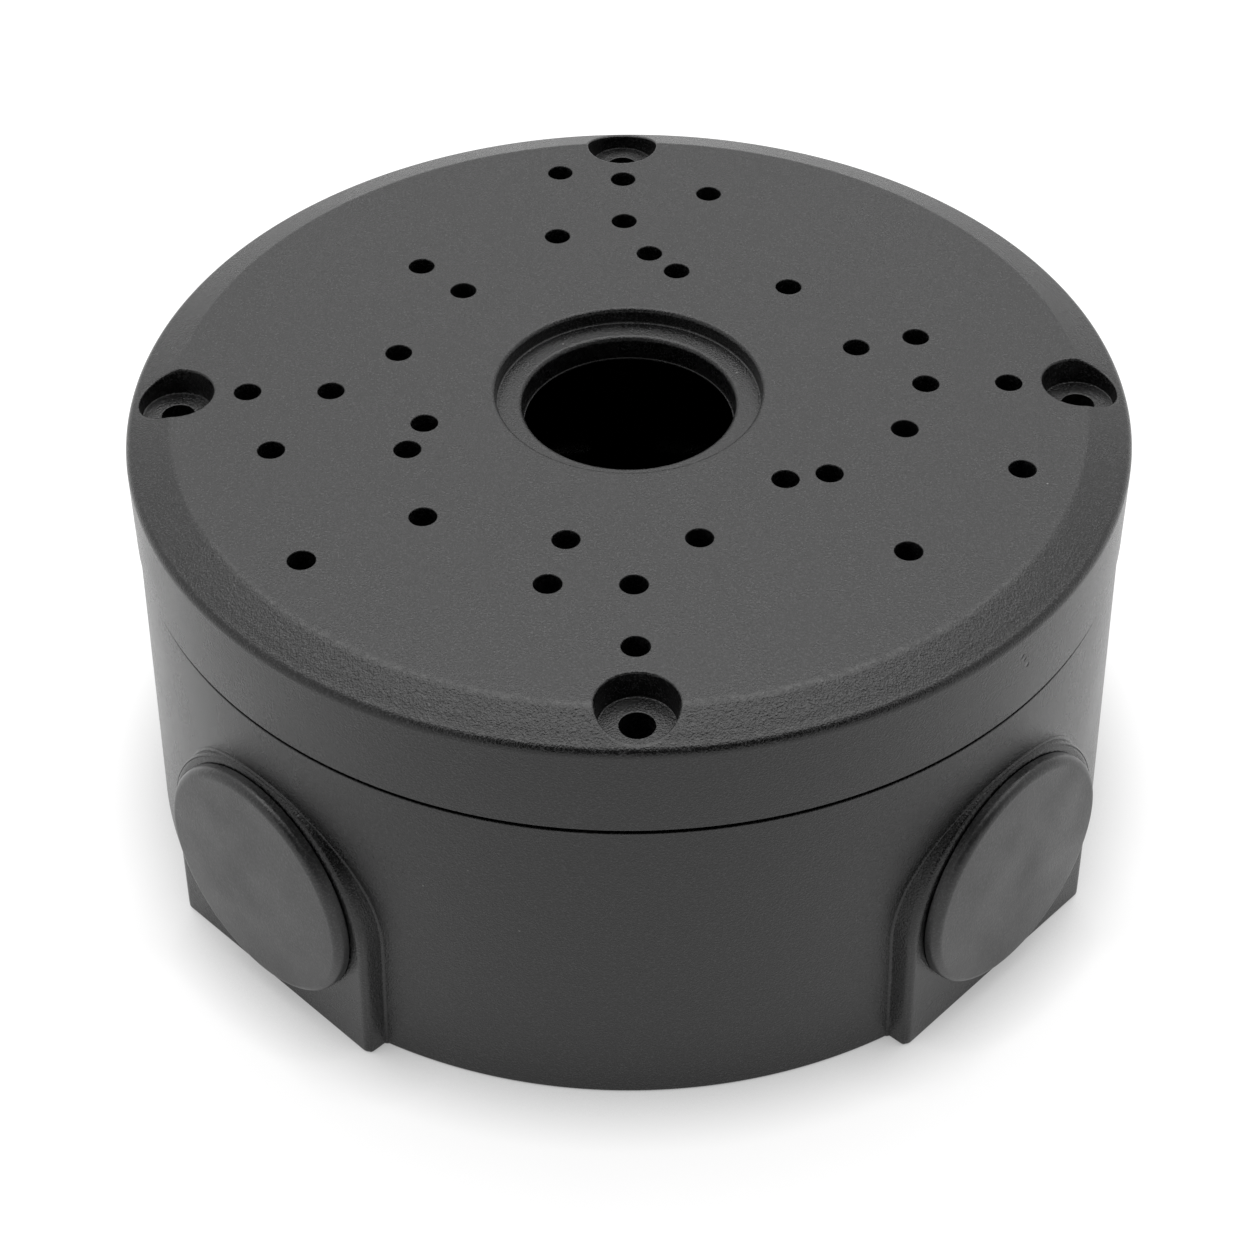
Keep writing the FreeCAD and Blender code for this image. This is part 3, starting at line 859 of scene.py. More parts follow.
@dataclass
class CoverPlate:
    """Cast cover with a sloped edge band, a recessed cable hole, screw seats and camera screw holes."""
    rim_radius: float = 68.0
    rim_z: float = 61.25
    rim_rounding: float = 1.35
    band_width: float = 6.1
    band_drop: float = 2.15
    band_softness: float = 1.5
    foot_radius: float = 68.24
    seam_z: float = 48.34
    foot_rounding: float = 0.2
    wall: float = 4.0
    plate: float = 3.5
    inner_rounding: float = 2.0
    lip_outer: float = 63.54
    lip_inner: float = 61.94
    lip_depth: float = 2.5
    recess_radius: float = 18.1
    recess_depth: float = 2.3
    cable_hole_radius: float = 14.5
    cable_hole_length: float = 3.75
    hole_rounding: float = 0.7
    ledge: float = 0.14
    ledge_height: float = 0.3
    ledge_rounding: float = 0.05
    recess_corner: float = 0.25
    recess_edge: float = 0.65
    lip_rounding: float = 0.3
    boss_rounding: float = 0.4
    boss_radius: float = 20.6
    screw_circle: float = 123.0
    screw_boss_radius: float = 7.2
    screw_boss_inset: float = 2.0
    seat_radius: float = 5.2
    seat_depth: float = 3.75
    seat_draft: float = 5.0
    screw_hole_radius: float = 2.2
    pillar_room: float = 6.1
    pillar_room_depth: float = 3.5
    camera_hole_radius: float = 1.8
    hole_lip: float = 0.18
    hole_lip_reach: float = 2.2
    hole_lip_rise: float = 0.16
    sides: int = 360

    @property
    def top_z(self) -> float:
        """Height of the flat face."""
        return self.rim_z + self.band_drop

    def surface_height(self, radius: np.ndarray) -> np.ndarray:
        """Height of the flat face and the band at a distance from the axis."""
        out = radius - (self.rim_radius - self.band_width)
        return self.top_z - np.maximum(out, 0.0) * self.band_drop / self.band_width

    def camera_circles(self) -> list[HoleCircle]:
        """Circles of the camera screw holes.

        Returns:
            Each circle, with its diameter, number of holes and first angle.
        """
        table = [
            (56.8, 3, 75.0),
            (64.3, 3, 83.7),
            (65.5, 3, 15.0),
            (65.5, 3, 45.0),
            (75.8, 3, 105.0),
            (80.8, 4, 0.0),
            (83.0, 3, 15.0),
            (98.2, 3, 75.0),
            (103.4, 4, 0.0),
            (108.9, 3, 100.0),
        ]
        return [HoleCircle(f"Camera Circle {i + 1}", *row) for i, row in enumerate(table)]

    def body(self) -> bpy.types.Object:
        """Turned body of the cover, with its hollow, lip, recess and cable hole.

        Returns:
            The body as an object.
        """
        ceiling = self.top_z - self.plate
        recess_floor = self.top_z - self.recess_depth
        hole_low = recess_floor - self.cable_hole_length
        lip_top = self.seam_z + self.lip_depth
        wall_radius = self.foot_radius - self.wall
        corners = [
            (self.cable_hole_radius - self.ledge, hole_low, 2 * self.ledge_rounding),
            (self.cable_hole_radius - self.ledge, hole_low + self.ledge_height, self.ledge_rounding),
            (self.cable_hole_radius, hole_low + self.ledge_height, self.ledge_rounding),
            (self.cable_hole_radius, recess_floor, self.hole_rounding),
            (self.recess_radius, recess_floor, self.recess_corner),
            (self.recess_radius, self.top_z, self.recess_edge),
            (self.rim_radius - self.band_width, self.top_z, self.band_softness),
            (self.rim_radius, self.rim_z, self.rim_rounding),
            (self.foot_radius, self.seam_z, self.foot_rounding),
            (self.lip_outer, self.seam_z, self.foot_rounding),
            (self.lip_outer, self.seam_z - self.lip_depth, self.lip_rounding),
            (self.lip_inner, self.seam_z - self.lip_depth, self.lip_rounding),
            (self.lip_inner, lip_top, self.lip_rounding),
            (wall_radius - 0.05, lip_top, self.lip_rounding),
            (wall_radius - 0.2, ceiling, self.inner_rounding),
            (self.boss_radius, ceiling, self.boss_rounding),
            (self.boss_radius, hole_low, self.boss_rounding),
        ]
        skin = turned_form(softened(corners, closed=True), self.sides, closed=True)
        return add_object("cover_plate_shell", skin.mesh("cover body"))

    def seat_cutter(self) -> bpy.types.Object:
        """Form of one screw seat and its through hole, made round the origin with the rim towards +X.

        Its mouth follows the flat face and the sloped band, so that the seat has an even rounded lip.

        Returns:
            The form as an object.
        """
        steps = 64
        edge, beyond, mouth_tilt = 0.3, 0.35, 8.0
        below, above = 3.0, 3.0
        angles = full_turn(steps)
        slope = math.tan(math.radians(self.seat_draft))
        low, floor = self.seam_z - below, self.top_z - self.seat_depth
        floor_radius = self.seat_radius - self.seat_depth * slope
        skin = Skin()

        def level_row(radius: float, height: float) -> list[int]:
            """Ring at one height."""
            return skin.add_points(ring_points(angles, radius, height))

        def mouth_row(grow: float, rise: float) -> list[int]:
            """Ring round the mouth.

            Args:
                grow: how far outside the mouth it lies.
                rise: how far above the surface it lies.

            Returns:
                The numbers of its points.
            """
            radius = np.full(steps, self.seat_radius + grow)
            out = np.hypot(self.screw_circle / 2 + radius * np.cos(angles), radius * np.sin(angles))
            surface = self.surface_height(out)
            radius = radius - np.maximum(self.top_z - surface, 0.0) * slope
            return skin.add_points(ring_points(angles, radius, surface + rise))

        rows = [
            level_row(self.screw_hole_radius, low),
            level_row(self.screw_hole_radius, floor - 0.2),
            level_row(self.screw_hole_radius + 0.06, floor - 0.06),
            level_row(self.screw_hole_radius + 0.2, floor),
            level_row(floor_radius - 0.3, floor),
            level_row(floor_radius - 0.08, floor + 0.08),
            level_row(floor_radius, floor + 0.3),
        ]
        rows += [mouth_row(out, -down) for out, down in quarter_round(edge, 4)[:-1]]
        rows.append(mouth_row(edge + beyond, beyond * math.tan(math.radians(mouth_tilt))))
        rows.append(mouth_row(edge + beyond, above))
        skin.join_all(rows)
        skin.fan(rows[0], (0.0, 0.0, low))
        skin.fan(rows[-1], (0.0, 0.0, self.top_z + above))
        return add_object("screw seat form", skin.mesh("screw seat form"))

    def hole_cutter(self) -> bpy.types.Object:
        """Form of one camera screw hole with a small rounded lip.

        Returns:
            The form as an object.
        """
        lip = self.hole_lip
        low, top = self.top_z - self.plate - PAST, self.top_z + PAST
        edge = self.camera_hole_radius + self.hole_lip_reach * lip
        rounding = quarter_round(lip, 3)[:-1]
        profile = [(0.0, low), (self.camera_hole_radius, low)]
        profile += [(self.camera_hole_radius + out, self.top_z - down) for out, down in rounding]
        profile += [
            (edge, self.top_z + self.hole_lip_rise * lip),
            (edge, top),
            (0.0, top),
        ]
        return turned_object("camera hole form", profile, 48)

    def build(self, material: bpy.types.Material) -> bpy.types.Object:
        """Make the dressed cover.

        Args:
            material: its coat.

        Returns:
            The finished piece.
        """
        piece = self.body()
        screws = [HoleCircle("Cover Screws", self.screw_circle, 4)]
        boss_top, boss_limit = self.top_z - self.screw_boss_inset, self.rim_radius - self.screw_boss_inset
        boss = plain_form("screw boss form", self.screw_boss_radius, self.seam_z, boss_top, 64)
        limit = plain_form("boss limit form", boss_limit, self.seam_z - PAST, self.top_z, 180)
        room_low = self.seam_z - self.pillar_room_depth
        room = plain_form("pillar room form", self.pillar_room, room_low, self.seam_z, 64)
        seat = self.seat_cutter()
        hole = self.hole_cutter()
        tree = CastingTree("cover casting")
        body = tree.shape
        tree.combine(tree.form("Limit", limit), Solid.CLIP, tree.repeated(tree.form("Boss", boss), screws))
        tree.combine(body, Solid.ADD)
        for label, form in {"Pillar Room": room, "Seat": seat}.items():
            places = [HoleCircle(label + "s", self.screw_circle, 4)]
            tree.combine(tree.repeated(tree.form(label, form), places), Solid.CUT)
        tree.combine(tree.repeated(tree.form("Hole", hole), self.camera_circles()), Solid.CUT)
        mesh = tree.finish(piece, material)
        remove([boss, limit, room, seat, hole])
        settle(piece, mesh)
        hand_over(piece, COAT, "cover_plate")
        return piece


# Base

@dataclass
class PadPlace:
    """A height on a pad, which leans in a little and faces outwards at an angle."""
    side: str
    angle: float
    height: float
    lean: float = 2.0
    foot_distance: float = 70.326

    def matrix(self) -> Matrix:
        """Turn a shape made along +X, with the pad's face at x = 0, to its place.

        Returns:
            The matrix, in millimetres.
        """
        distance = self.foot_distance - self.height * math.tan(math.radians(self.lean))
        turn = Matrix.Rotation(math.radians(self.angle), 4, "Z")
        move = Matrix.Translation((distance, 0.0, self.height))
        return turn @ move @ Matrix.Rotation(math.radians(-self.lean), 4, "Y")

    def axis_matrix(self) -> Matrix:
        """Turn a shape made along +Z, with the pad's face at z = 0, to its place."""
        return self.matrix() @ Matrix.Rotation(math.radians(90.0), 4, "Y")


SIDES = {"left": 225.0, "right": 315.0}
ARCHES = [PadPlace(side, angle, 19.0) for side, angle in SIDES.items()]
ENTRIES = [PadPlace(side, angle, 20.5) for side, angle in SIDES.items()]


@dataclass
class PadSkin:
    """Outer skin of one arched pad, blended into the base's side with a small fillet."""
    half_width: float = 19.4
    draft: float = 2.0
    rounding: float = 1.2
    fillet: float = 0.3
    bead: float = 0.22
    bead_width: float = 0.36
    rows: int = 34
    arc_steps: int = 84
    leg_steps: int = 14
    foot_steps: int = 12
    reach: float = 6.0
    samples: int = 700
    bend_weight: float = 2.5

    def face_height(self, out: np.ndarray) -> np.ndarray:
        """Height of the pad's own form over its face plane.

        Args:
            out: distance outside the pad's outline.

        Returns:
            The height, negative behind the face plane.
        """
        turn = math.radians(90.0 - self.draft)
        tangent = self.rounding * math.tan(turn / 2)
        along = np.clip(out + tangent, 0.0, self.rounding * math.sin(turn))
        arc = np.sqrt(self.rounding ** 2 - along ** 2) - self.rounding
        wall = -out / math.tan(math.radians(self.draft))
        return np.where(out + tangent < self.rounding * math.sin(turn), arc, wall)


@dataclass
class BaseHousing:
    """Cast base: drafted round side with two arched pads, cavity, pillars and floor holes."""
    height: float = 47.66
    foot_radius: float = 70.1
    draft: float = 2.5
    edge_rounding: float = 0.4
    rim_rounding: float = 0.15
    rim_wall: float = 4.1
    cavity_draft: float = 0.5
    floor: float = 3.2
    floor_rounding: float = 3.0
    cavity_chamfer: float = 0.3
    sunk: float = 1.5               # how deep the pillars and the earth boss start in the floor
    groove_radius: float = 65.99
    groove_half_width: float = 1.0
    groove_depth: float = 1.4
    screw_circle: float = 123.0
    pillar_radius: float = 5.5
    tapping_radius: float = 1.7
    tapping_depth: float = 14.0
    wall_hole_circle: float = 92.0
    wall_hole_radius: float = 2.75
    rear_hole_radius: float = 11.0
    rear_recess_radius: float = 13.4
    rear_recess_depth: float = 1.2
    earth_circle: float = 80.0
    earth_boss_radius: float = 5.0
    earth_boss_height: float = 4.0
    earth_hole_radius: float = 2.1
    earth_hole_depth: float = 5.0
    entry_radius: float = 13.2
    entry_depth: float = 16.0
    seal_seat_radius: float = 15.4
    seal_seat_depth: float = 1.0
    seal_seat_chamfer: float = 0.2
    sides: int = 288
    hole_sides: int = 96
    arch_margin: float = 0.7
    search_low: float = -30.0       # where the round side is looked for, from a pad's face plane
    search_high: float = 10.0
    search_steps: int = 40

    def side_radius(self, height: np.ndarray) -> np.ndarray:
        """Radius of the drafted side at a height."""
        return self.foot_radius - height * math.tan(math.radians(self.draft))

    @property
    def rim_radius(self) -> float:
        """Radius of the side at the rim."""
        return float(self.side_radius(np.array(self.height)))

    def body_height(self, place: PadPlace, across: np.ndarray, up: np.ndarray) -> np.ndarray:
        """Height of the base's round side over a pad's face plane.

        Args:
            place: where the pad is.
            across: sideways place on the face plane.
            up: upward place on the face plane.

        Returns:
            How far the round side lies outside the plane, negative where it is inside.
        """
        lean = math.radians(place.lean)
        distance = place.foot_distance - place.height * math.tan(lean)
        low = np.full_like(across, self.search_low)
        high = np.full_like(across, self.search_high)
        for _ in range(self.search_steps):
            middle = (low + high) / 2
            x = distance + middle * math.cos(lean) - up * math.sin(lean)
            z = place.height + middle * math.sin(lean) + up * math.cos(lean)
            outside = np.hypot(x, across) > self.side_radius(z)
            high = np.where(outside, middle, high)
            low = np.where(outside, low, middle)
        return (low + high) / 2

    def pad_rows(self, place: PadPlace, pad: PadSkin) -> np.ndarray:
        """Points of a pad's skin.

        Args:
            place: where the pad is.
            pad: its form.

        Returns:
            Points by step along the outline, then by row from the face out to the round side.
        """
        lean = math.radians(place.lean)
        arc = np.linspace(0.0, math.pi, pad.arc_steps + 1)
        legs = np.linspace(1.0, 0.0, pad.leg_steps + 1)[:-1]
        share = np.concatenate([legs, np.zeros(len(arc)), legs[::-1]])[:, None]
        turn = np.concatenate([np.zeros(len(legs)), arc, np.full(len(legs), math.pi)])[:, None]
        out = np.linspace(-1.1 * pad.rounding, pad.reach, pad.samples)[None, :]
        own = pad.face_height(out)
        across = (pad.half_width + out) * np.cos(turn)
        rise = (pad.half_width + out) * np.sin(turn)
        depth = np.zeros_like(across)
        for _ in range(4):
            foot = (self.edge_rounding - place.height - depth * math.sin(lean)) / math.cos(lean)
            up = rise + share * foot
            side = self.body_height(place, across, up)
            apart = np.abs(own - side)
            blend = np.maximum(pad.fillet - apart, 0.0) ** 2 / (4 * pad.fillet)
            past = np.abs(out - (side < own).argmin(axis=1)[:, None] * (out[0, 1] - out[0, 0]) - out[0, 0])
            bead = pad.bead * np.sqrt(np.maximum(1.0 - (past / pad.bead_width) ** 2, 0.0))
            depth = np.maximum(own, side) + np.maximum(blend, bead)
        ended = (side - own > pad.fillet) & (past > pad.bead_width)
        rows = np.empty((len(turn), pad.rows, 3))
        for i in range(len(turn)):
            last = int(np.argmax(ended[i])) + 1
            path = np.stack([depth[i, :last], across[i, :last], up[i, :last]], axis=1)
            steps = np.diff(path, axis=0)
            lengths = np.linalg.norm(steps, axis=1)
            slope = np.arctan2(steps[:, 0], np.diff(out[0, :last]))
            bend = np.abs(np.diff(slope, prepend=slope[0]))
            measure = np.concatenate([[0.0], np.cumsum(lengths + pad.bend_weight * bend)])
            wanted = np.linspace(0.0, measure[-1], pad.rows)
            for axis in range(3):
                rows[i, :, axis] = np.interp(wanted, measure, path[:, axis])
        matrix = np.array(place.matrix())
        return rows @ matrix[:3, :3].T + matrix[:3, 3]

    def outer_skin(self) -> Skin:
        """Outer form of the base with its pads, before anything is cut from it.

        Returns:
            The closed skin.
        """
        skin = Skin()
        pad = PadSkin()
        low, high = self.edge_rounding, self.height - self.rim_rounding
        grids = []
        for place in ARCHES:
            grid = self.pad_rows(place, pad)
            grids.append(grid)
            rows = [skin.add_points(grid[:, j]) for j in range(pad.rows)]
            skin.join_all(rows, closed=False)
            self.fill_flat(skin, grid[:, 0], place, pad.foot_steps)
        self.fill_side(skin, grids, low, high)
        self.fill_rim(skin)
        self.fill_foot(skin, grids, pad.foot_steps)
        return skin

    def fill_flat(self, skin: Skin, outline: np.ndarray, place: PadPlace, steps: int) -> None:
        """Fill a pad's flat face.

        Args:
            skin: the skin that the face is added to.
            outline: points round the face, from foot to foot.
            place: where the pad is.
            steps: number of points along the foot.
        """
        foot = np.linspace(outline[-1], outline[0], steps)[1:-1]
        ring = np.concatenate([outline, foot])
        matrix = np.array(place.matrix())
        flat = (ring - matrix[:3, 3]) @ matrix[:3, :3]
        _, faces = triangles([tuple(p[1:]) for p in flat], len(ring), "a pad's face")
        skin.add_form(ring, faces)

    def angles(self) -> np.ndarray:
        """Angles of the columns on the round side, from the back round to the back."""
        return math.pi / 2 + np.arange(self.sides + 1) * (2 * math.pi / self.sides)

    def fill_side(self, skin: Skin, grids: list[np.ndarray], low: float, high: float) -> None:
        """Fill the round side between its foot, its rim and the pads' outer rows.

        Args:
            skin: the skin that the side is added to.
            grids: the points of each pad's skin.
            low: height where the side starts, above the foot's rounding.
            high: height where it ends, below the rim's rounding.
        """
        angles = self.angles()
        spans, loops = [], []
        for grid in grids:
            edge = grid[:, -1]
            angle = np.mod(np.arctan2(edge[:, 1], edge[:, 0]) - math.pi / 2, 2 * math.pi) + math.pi / 2
            loops.append(np.stack([angle, edge[:, 2]], axis=1))
            spans.append((angle.min(), angle.max()))
        rest = [(a, low) for a in angles if not any(s < a < e for s, e in spans)]
        bottom: list[tuple[float, float]] = []
        for (start, end), loop in sorted(zip(spans, loops), key=lambda pair: pair[0][0]):
            bottom += [p for p in rest if p[0] <= start]
            arch = [(float(a), float(z)) for a, z in loop]
            bottom += arch if arch[0][0] < arch[-1][0] else arch[::-1]
            rest = [p for p in rest if p[0] >= end]
        bottom += rest
        top = [(a, high) for a in angles[::-1]]
        levels = np.linspace(low, high, 25)[1:-1]
        left = [(float(angles[-1]), float(z)) for z in levels]
        right = [(float(angles[0]), float(z)) for z in levels[::-1]]
        border = bottom + left + top + right
        grid = [(float(a), float(z)) for a in angles[1:-1] for z in levels]
        flat = border + [place for place in grid if not self.in_arches(*place, loops)]
        scale = self.foot_radius
        made, faces = triangles([(a * scale, z) for a, z in flat], len(border), "the side")
        turn = np.array([p[0] / scale for p in made])
        rise = np.array([p[1] for p in made])
        skin.add_form(ring_points(turn, self.side_radius(rise), rise), faces)

    def in_arches(self, angle: float, height: float, loops: list[np.ndarray]) -> bool:
        """Whether a place on the round side lies in a pad's outline or close to it.

        Args:
            angle: the place's angle about the axis.
            height: its height.
            loops: angle and height of the points on each pad's outline.

        Returns:
            True where no point of the side's grid may go.
        """
        near = self.arch_margin / self.foot_radius
        for loop in loops:
            if not loop[:, 0].min() - near < angle < loop[:, 0].max() + near:
                continue
            gaps = np.hypot((loop[:, 0] - angle) * self.foot_radius, loop[:, 1] - height)
            order = np.argsort(loop[:, 0])
            crown = np.interp(angle, loop[order, 0], loop[order, 1])
            inside = loop[:, 0].min() < angle < loop[:, 0].max() and height < crown
            if inside or gaps.min() < self.arch_margin:
                return True
        return False

    def fill_rim(self, skin: Skin) -> None:
        """Round the rim's edge and close the top, which the cavity opens later.

        Args:
            skin: the skin that the rim is added to.
        """
        angles = self.angles()[:-1]
        start = float(self.side_radius(np.array(self.height - self.rim_rounding)))
        rows = [
            skin.add_points(ring_points(angles, start - inset, self.height - down))
            for inset, down in quarter_round(self.rim_rounding, 4)
        ]
        skin.join_all(rows)
        skin.fan(rows[-1], (0.0, 0.0, self.height))

    def foot_outline(self, grids: list[np.ndarray], steps: int) -> np.ndarray:
        """Outline of the base just above its foot rounding.

        Args:
            grids: the points of each pad's skin.
            steps: number of points along each pad's foot.

        Returns:
            Its points, in order round the axis.
        """
        spans = [
            sorted(np.mod(np.arctan2(g[k, -1, 1], g[k, -1, 0]), 2 * math.pi) for k in (0, -1)) for g in grids
        ]
        places = []
        for a in self.angles()[:-1]:
            a = a % (2 * math.pi)
            if not any(s <= a <= e for s, e in spans):
                radius = float(self.side_radius(np.array(self.edge_rounding)))
                places.append((radius * math.cos(a), radius * math.sin(a), self.edge_rounding))
        for grid in grids:
            foot = np.linspace(grid[-1, 0], grid[0, 0], steps)[1:-1]
            places += [tuple(p) for p in np.concatenate([grid[0], grid[-1], foot])]
        places.sort(key=lambda p: math.atan2(p[1], p[0]))
        return np.array(places)

    def fill_foot(self, skin: Skin, grids: list[np.ndarray], steps: int) -> None:
        """Round the foot's edge all the way round and close the underside.

        Args:
            skin: the skin that the foot is added to.
            grids: the points of each pad's skin.
            steps: number of points along each pad's foot.
        """
        outline = self.foot_outline(grids, steps)
        around = np.concatenate([outline, outline[:1]])
        walked = np.concatenate([[0.0], np.cumsum(np.linalg.norm(np.diff(around, axis=0), axis=1))])

        def along(step: float) -> np.ndarray:
            """Places a step further along the outline from each of its points."""
            wanted = np.mod(walked[:-1] + step, walked[-1])
            return np.stack([np.interp(wanted, walked, around[:, k]) for k in (0, 1)], axis=1)

        ahead = along(self.edge_rounding) - along(-self.edge_rounding)
        outward = np.stack([ahead[:, 1], -ahead[:, 0]], axis=1)
        outward /= np.linalg.norm(outward, axis=1)[:, None]
        rows = []
        for inset, height in quarter_round(self.edge_rounding, 4):
            ring = outline.copy()
            ring[:, :2] -= outward * inset
            ring[:, 2] = height
            rows.append(skin.add_points(ring))
        skin.join_all(rows)
        skin.fan(rows[-1], (0.0, 0.0, 0.0))

    def cavity_form(self) -> bpy.types.Object:
        """Form of the cavity, open at the top.

        Returns:
            The form as an object.
        """
        rim = self.rim_radius - self.rim_wall
        low = rim - (self.height - self.floor) * math.tan(math.radians(self.cavity_draft))
        corners = [
            (0.0, self.floor, 0.0),
            (low, self.floor, self.floor_rounding),
            (rim - self.cavity_chamfer, self.height - self.cavity_chamfer, 0.0),
            (rim, self.height, 0.0),
            (rim, self.height + 2 * PAST, 0.0),
            (0.0, self.height + 2 * PAST, 0.0),
        ]
        return turned_object("cavity form", softened(corners), self.sides)

    def floor_hole_form(self) -> bpy.types.Object:
        """Form of the rear cable hole and the recess of its grommet's flange.

        Returns:
            The form as an object.
        """
        corners = [
            (0.0, -PAST, 0.0),
            (self.rear_recess_radius, -PAST, 0.0),
            (self.rear_recess_radius, self.rear_recess_depth, 0.0),
            (self.rear_hole_radius, self.rear_recess_depth, 0.0),
            (self.rear_hole_radius, self.floor + PAST, 0.0),
            (0.0, self.floor + PAST, 0.0),
        ]
        return turned_object("rear hole form", softened(corners), self.hole_sides)

    def groove_form(self) -> bpy.types.Object:
        """Ring that cuts the gasket's groove.

        Returns:
            The form as an object.
        """
        inner = self.groove_radius - self.groove_half_width
        outer = self.groove_radius + self.groove_half_width
        low, high = self.height - self.groove_depth, self.height + PAST
        profile = [(inner, low), (outer, low), (outer, high), (inner, high)]
        return turned_object("groove form", profile, self.sides, closed=True)

    def entry_form(self, place: PadPlace) -> bpy.types.Object:
        """Form of one side entry and the seat of its plug's seal, in place.

        Args:
            place: where the entry is.

        Returns:
            The form as an object.
        """
        mouth = self.seal_seat_radius + self.seal_seat_chamfer
        corners = [
            (0.0, 5 * PAST, 0.0),
            (mouth, 5 * PAST, 0.0),
            (mouth, 0.02, 0.0),
            (self.seal_seat_radius, -self.seal_seat_chamfer, 0.0),
            (self.seal_seat_radius, -self.seal_seat_depth, 0.0),
            (self.entry_radius, -self.seal_seat_depth, 0.0),
            (self.entry_radius, -self.entry_depth, 0.0),
            (0.0, -self.entry_depth, 0.0),
        ]
        skin = turned_form(softened(corners), self.hole_sides)
        matrix = place.axis_matrix()
        skin.points = [tuple(matrix @ Vector(p)) for p in skin.points]
        return add_object("entry form " + place.side, skin.mesh("entry form " + place.side))

    def build(self, material: bpy.types.Material) -> bpy.types.Object:
        """Make the dressed base.

        Args:
            material: its coat.

        Returns:
            The finished piece.
        """
        piece = add_object("base_housing_shell", self.outer_skin().mesh("base body"))
        inside = self.floor - self.sunk
        boss_top = self.floor + self.earth_boss_height
        forms = {
            "Cavity": self.cavity_form(),
            "Pillar": plain_form("pillar form", self.pillar_radius, inside, self.height),
            "Earth Boss": plain_form("earth boss form", self.earth_boss_radius, inside, boss_top),
            "Groove": self.groove_form(),
            "Tapping": plain_form(
                "tapping form", self.tapping_radius, self.height - self.tapping_depth, self.height + PAST),
            "Wall Hole": plain_form("wall hole form", self.wall_hole_radius, -PAST, self.floor + PAST),
            "Earth Hole": plain_form(
                "earth hole form", self.earth_hole_radius, boss_top - self.earth_hole_depth, boss_top + PAST),
            "Rear Hole": self.floor_hole_form(),
        }
        circles = {
            "Pillar": HoleCircle("Pillars", self.screw_circle, 4),
            "Earth Boss": HoleCircle("Earth Boss", self.earth_circle, 1, 90.0),
            "Tapping": HoleCircle("Tappings", self.screw_circle, 4),
            "Wall Hole": HoleCircle("Wall Holes", self.wall_hole_circle, 4, 45.0),
            "Earth Hole": HoleCircle("Earth Hole", self.earth_circle, 1, 90.0),
        }
        tree = CastingTree("base casting")
        for label, form in forms.items():
            shape = tree.form(label, form)
            if label in circles:
                shape = tree.repeated(shape, [circles[label]])
            tree.combine(shape, Solid.ADD if label in ("Pillar", "Earth Boss") else Solid.CUT)
        entries = [self.entry_form(place) for place in ENTRIES]
        for place, form in zip(ENTRIES, entries):
            tree.combine(tree.form("Entry " + place.side, form), Solid.CUT)
        mesh = tree.finish(piece, material)
        remove([*forms.values(), *entries])
        settle(piece, mesh)
        hand_over(piece, COAT, "base_housing")
        return piece


# Side plugs

@dataclass
class SidePlug:
    """Blanking plug with a domed round head, a hollow threaded shank and a soft moulded edge."""
    head_radius: float = 17.1
    head_gap: float = 0.4
    skirt: float = 0.9
    skirt_gap: float = 0.14
    head_thickness: float = 2.1
    head_rounding: float = 1.2
    dome: float = 0.35
    shank_radius: float = 13.0
    shank_length: float = 8.0
    wall: float = 2.6
    thread_pitch: float = 1.5
    thread_depth: float = 0.16
    thread_start: float = 1.0
    thread_end: float = 1.5
    sides: int = 144

    def profile(self) -> Profile:
        """Profile of the plug about its axis.

        Returns:
            Its points, from the crown to the hollow of the shank.
        """
        crown = self.head_gap + self.head_thickness
        edge = crown - self.dome
        dome = [(self.head_radius * k / 6, crown - self.dome * (k / 6) ** 2, 0.0) for k in range(6)]
        hollow = self.shank_radius - self.wall
        corners = dome + [
            (self.head_radius, edge, self.head_rounding),
            (self.head_radius, self.skirt_gap, 0.1),
            (self.head_radius - self.skirt, self.skirt_gap, 0.1),
            (self.head_radius - self.skirt, self.head_gap, 0.1),
            (self.shank_radius, self.head_gap, 0.15),
            (self.shank_radius, -self.shank_length, 0.5),
            (hollow, -self.shank_length, 0.4),
            (hollow, self.head_gap, 0.5),
            (0.0, self.head_gap, 0.0),
        ]
        return softened(corners, step_deg=9.0)

    def build(self, place: PadPlace, material: bpy.types.Material) -> bpy.types.Object:
        """Make one dressed plug.

        Args:
            place: the entry that it closes.
            material: its plastic.

        Returns:
            The finished piece.
        """
        name = "side_plug_" + place.side
        mesh = turned_form(self.profile(), self.sides).mesh(name)
        mesh.materials.append(material)
        length = self.shank_length - self.thread_start - self.thread_end
        thread = thread_ridge(
            name + " thread", self.shank_radius, length, self.thread_pitch, self.thread_depth, material)
        thread.transform(Matrix.Translation((0.0, 0.0, -(self.shank_length - self.thread_start) * MM)))
        form = bmesh.new()
        form.from_mesh(mesh)
        form.from_mesh(thread)
        matrix = place.axis_matrix()
        matrix.translation *= MM
        bmesh.ops.transform(form, matrix=matrix, verts=form.verts)
        form.to_mesh(mesh)
        form.free()
        piece = add_object(name + "_head", mesh)
        settle(piece, mesh)
        hand_over(piece, PLASTIC, name)
        return piece


# Small parts that keep their CAD form

